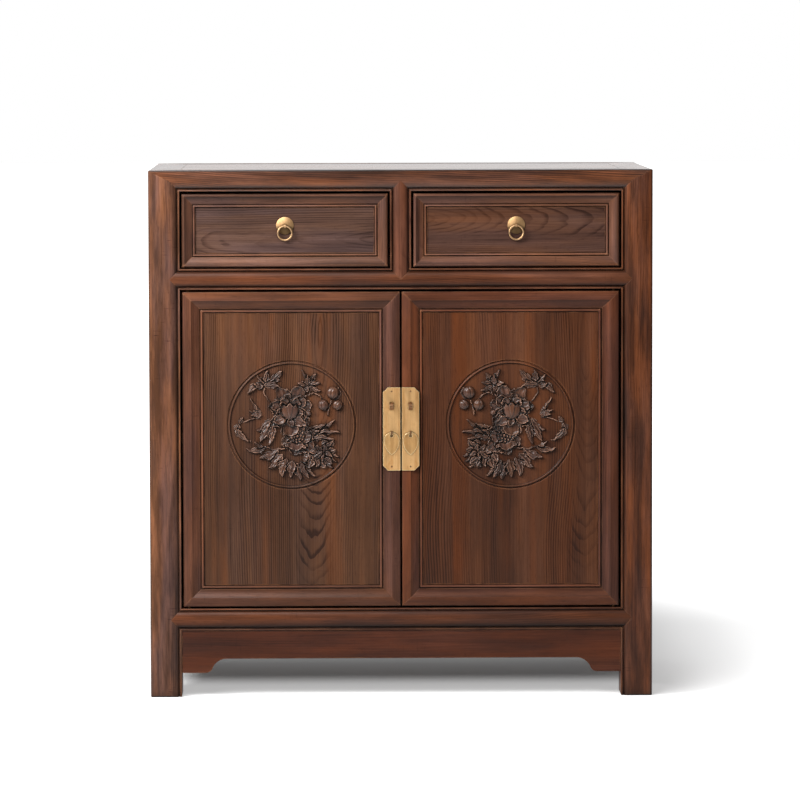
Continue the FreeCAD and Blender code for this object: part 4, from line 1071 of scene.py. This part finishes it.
# Nail heads that hold the lock plates
def nail_mesh(name, centre):
    """A shallow dome that faces -Y, in rings round its crown."""
    points = [(centre.x, centre.y - NAIL_RISE, centre.z)]
    faces = []
    for ring in range(1, NAIL_RINGS + 1):
        slope = ring / NAIL_RINGS * math.pi / 2
        reach = NAIL_RADIUS * math.sin(slope)
        y = centre.y - NAIL_RISE * math.cos(slope)
        for step in range(NAIL_STEPS):
            turn = step / NAIL_STEPS * 2.0 * math.pi
            points.append((centre.x + reach * math.cos(turn), y, centre.z + reach * math.sin(turn)))
            here = 1 + (ring - 1) * NAIL_STEPS + step
            following = 1 + (ring - 1) * NAIL_STEPS + (step + 1) % NAIL_STEPS
            if ring == 1:
                faces.append((0, here, following))
            else:
                faces.append((here - NAIL_STEPS, here, following, following - NAIL_STEPS))
    return smooth_mesh(name, points, faces, dark_brass)


def make_nails():
    for side in ("left", "right"):
        low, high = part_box("door_" + side + "_lock_plate")
        middle = (low.x + high.x) / 2
        for end, level in (("upper", high.z - NAIL_INSET), ("lower", low.z + NAIL_INSET)):
            name = "lock_plate_nail_" + side + "_" + end
            spot = Vector((middle, low.y + NAIL_SUNK, level))
            nail = put(name, nail_mesh(name, spot))
            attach(nail, "door_" + side)


make_nails()


# Studio: a pale floor without an edge, a white world and soft lamps from the upper left
def shown(tree, level, share):
    """A level that the camera sees in full, and that reflections and glass see by a share."""
    path = tree.nodes.new("ShaderNodeLightPath").outputs
    reflected = times(tree, plus(tree, path["Is Glossy Ray"], path["Is Transmission Ray"]), share)
    seen = calculate(tree, "ADD", path["Is Camera Ray"], reflected, clamp=True)
    return times(tree, seen, level)


def make_world():
    """White for the camera and in reflections, dimmer in reflections of the room before the object."""
    world = bpy.data.worlds.new("studio")
    bpy.context.scene.world = world
    world.use_nodes = True
    tree = world.node_tree
    forward = split(tree, tree.nodes.new("ShaderNodeTexCoord").outputs["Generated"])[1]
    level = shown(tree, 1.0 - WORLD_LIGHT, remap(tree, forward, *WORLD_DIM))
    plug(tree, tree.nodes["Background"], Color=WHITE, Strength=plus(tree, level, WORLD_LIGHT))


def make_floor():
    """A floor that the camera sees as white, with the object's shadow: away from the object it glows."""
    mesh = bpy.data.meshes.new("studio_floor")
    corners = [(x * FLOOR_REACH, y * FLOOR_REACH, 0) for x, y in ((-1, -1), (1, -1), (1, 1), (-1, 1))]
    mesh.from_pydata(corners, [], [(0, 1, 2, 3)])
    floor = put("studio_floor", mesh)
    material, tree = new_material("floor_white")
    pale = plus(tree, shown(tree, FLOOR_TONE - FLOOR_BOUNCE, 1.0), FLOOR_BOUNCE)
    paint = add(tree, "ShaderNodeCombineColor", _0=pale, _1=pale, _2=pale).outputs[0]
    surface = tree.nodes["Principled BSDF"]
    plug(tree, surface, Base_Color=paint, Roughness=0.75, Specular_IOR_Level=0.1)
    place = object_place(tree)
    axes = split(tree, place)
    across = calculate(tree, "ABSOLUTE", axes[0])
    lift = remap(tree, across, *GLOW_BESIDE[0])
    for ramp in GLOW_BESIDE[1:]:
        lift = plus(tree, lift, remap(tree, across, *ramp))
    lift = calculate(tree, "MAXIMUM", lift, remap(tree, axes[1], *GLOW_BEFORE))
    lift = plus(tree, lift, remap(tree, axes[1], *GLOW_BEHIND))
    lift = plus(tree, lift, remap(tree, vector_math(tree, "LENGTH", place), *GLOW_FAR))
    level = shown(tree, lift, remap(tree, axes[1], *FLOOR_DIM))
    glow = add(tree, "ShaderNodeEmission", Color=WHITE, Strength=level)
    both = add(tree, "ShaderNodeAddShader", _0=surface.outputs[0], _1=glow.outputs[0])
    plug(tree, tree.nodes["Material Output"], Surface=both.outputs[0])
    mesh.materials.append(material)


def make_lamp(name, place, size, power):
    data = bpy.data.lights.new(name, "AREA")
    data.shape = "DISK"
    data.size = size
    data.energy = power
    lamp = put(name, data)
    lamp.location = place
    lamp.rotation_mode = "QUATERNION"
    lamp.rotation_quaternion = (LAMP_AIM - Vector(place)).to_track_quat("-Z", "Y")


def make_camera():
    data = bpy.data.cameras.new("camera")
    data.lens = CAMERA_LENS
    data.shift_x, data.shift_y = CAMERA_SHIFT
    data.clip_end = CAMERA_CLIP
    look = Vector((
        math.sin(CAMERA_YAW) * math.cos(CAMERA_PITCH),
        math.cos(CAMERA_YAW) * math.cos(CAMERA_PITCH),
        -math.sin(CAMERA_PITCH),
    ))
    right = Vector((math.cos(CAMERA_YAW), -math.sin(CAMERA_YAW), 0.0))
    up = right.cross(look)
    rolled_right = right * math.cos(CAMERA_ROLL) + up * math.sin(CAMERA_ROLL)
    rolled_up = up * math.cos(CAMERA_ROLL) - right * math.sin(CAMERA_ROLL)
    turn = Matrix((rolled_right, rolled_up, -look)).transposed()
    camera = put("camera", data)
    camera.matrix_world = Matrix.Translation(CAMERA_PLACE) @ turn.to_4x4()
    bpy.context.scene.camera = camera


make_world()
make_floor()
for lamp_name, lamp_values in LAMPS.items():
    make_lamp(lamp_name, *lamp_values)
make_camera()

bpy.context.scene.view_settings.view_transform = "Standard"
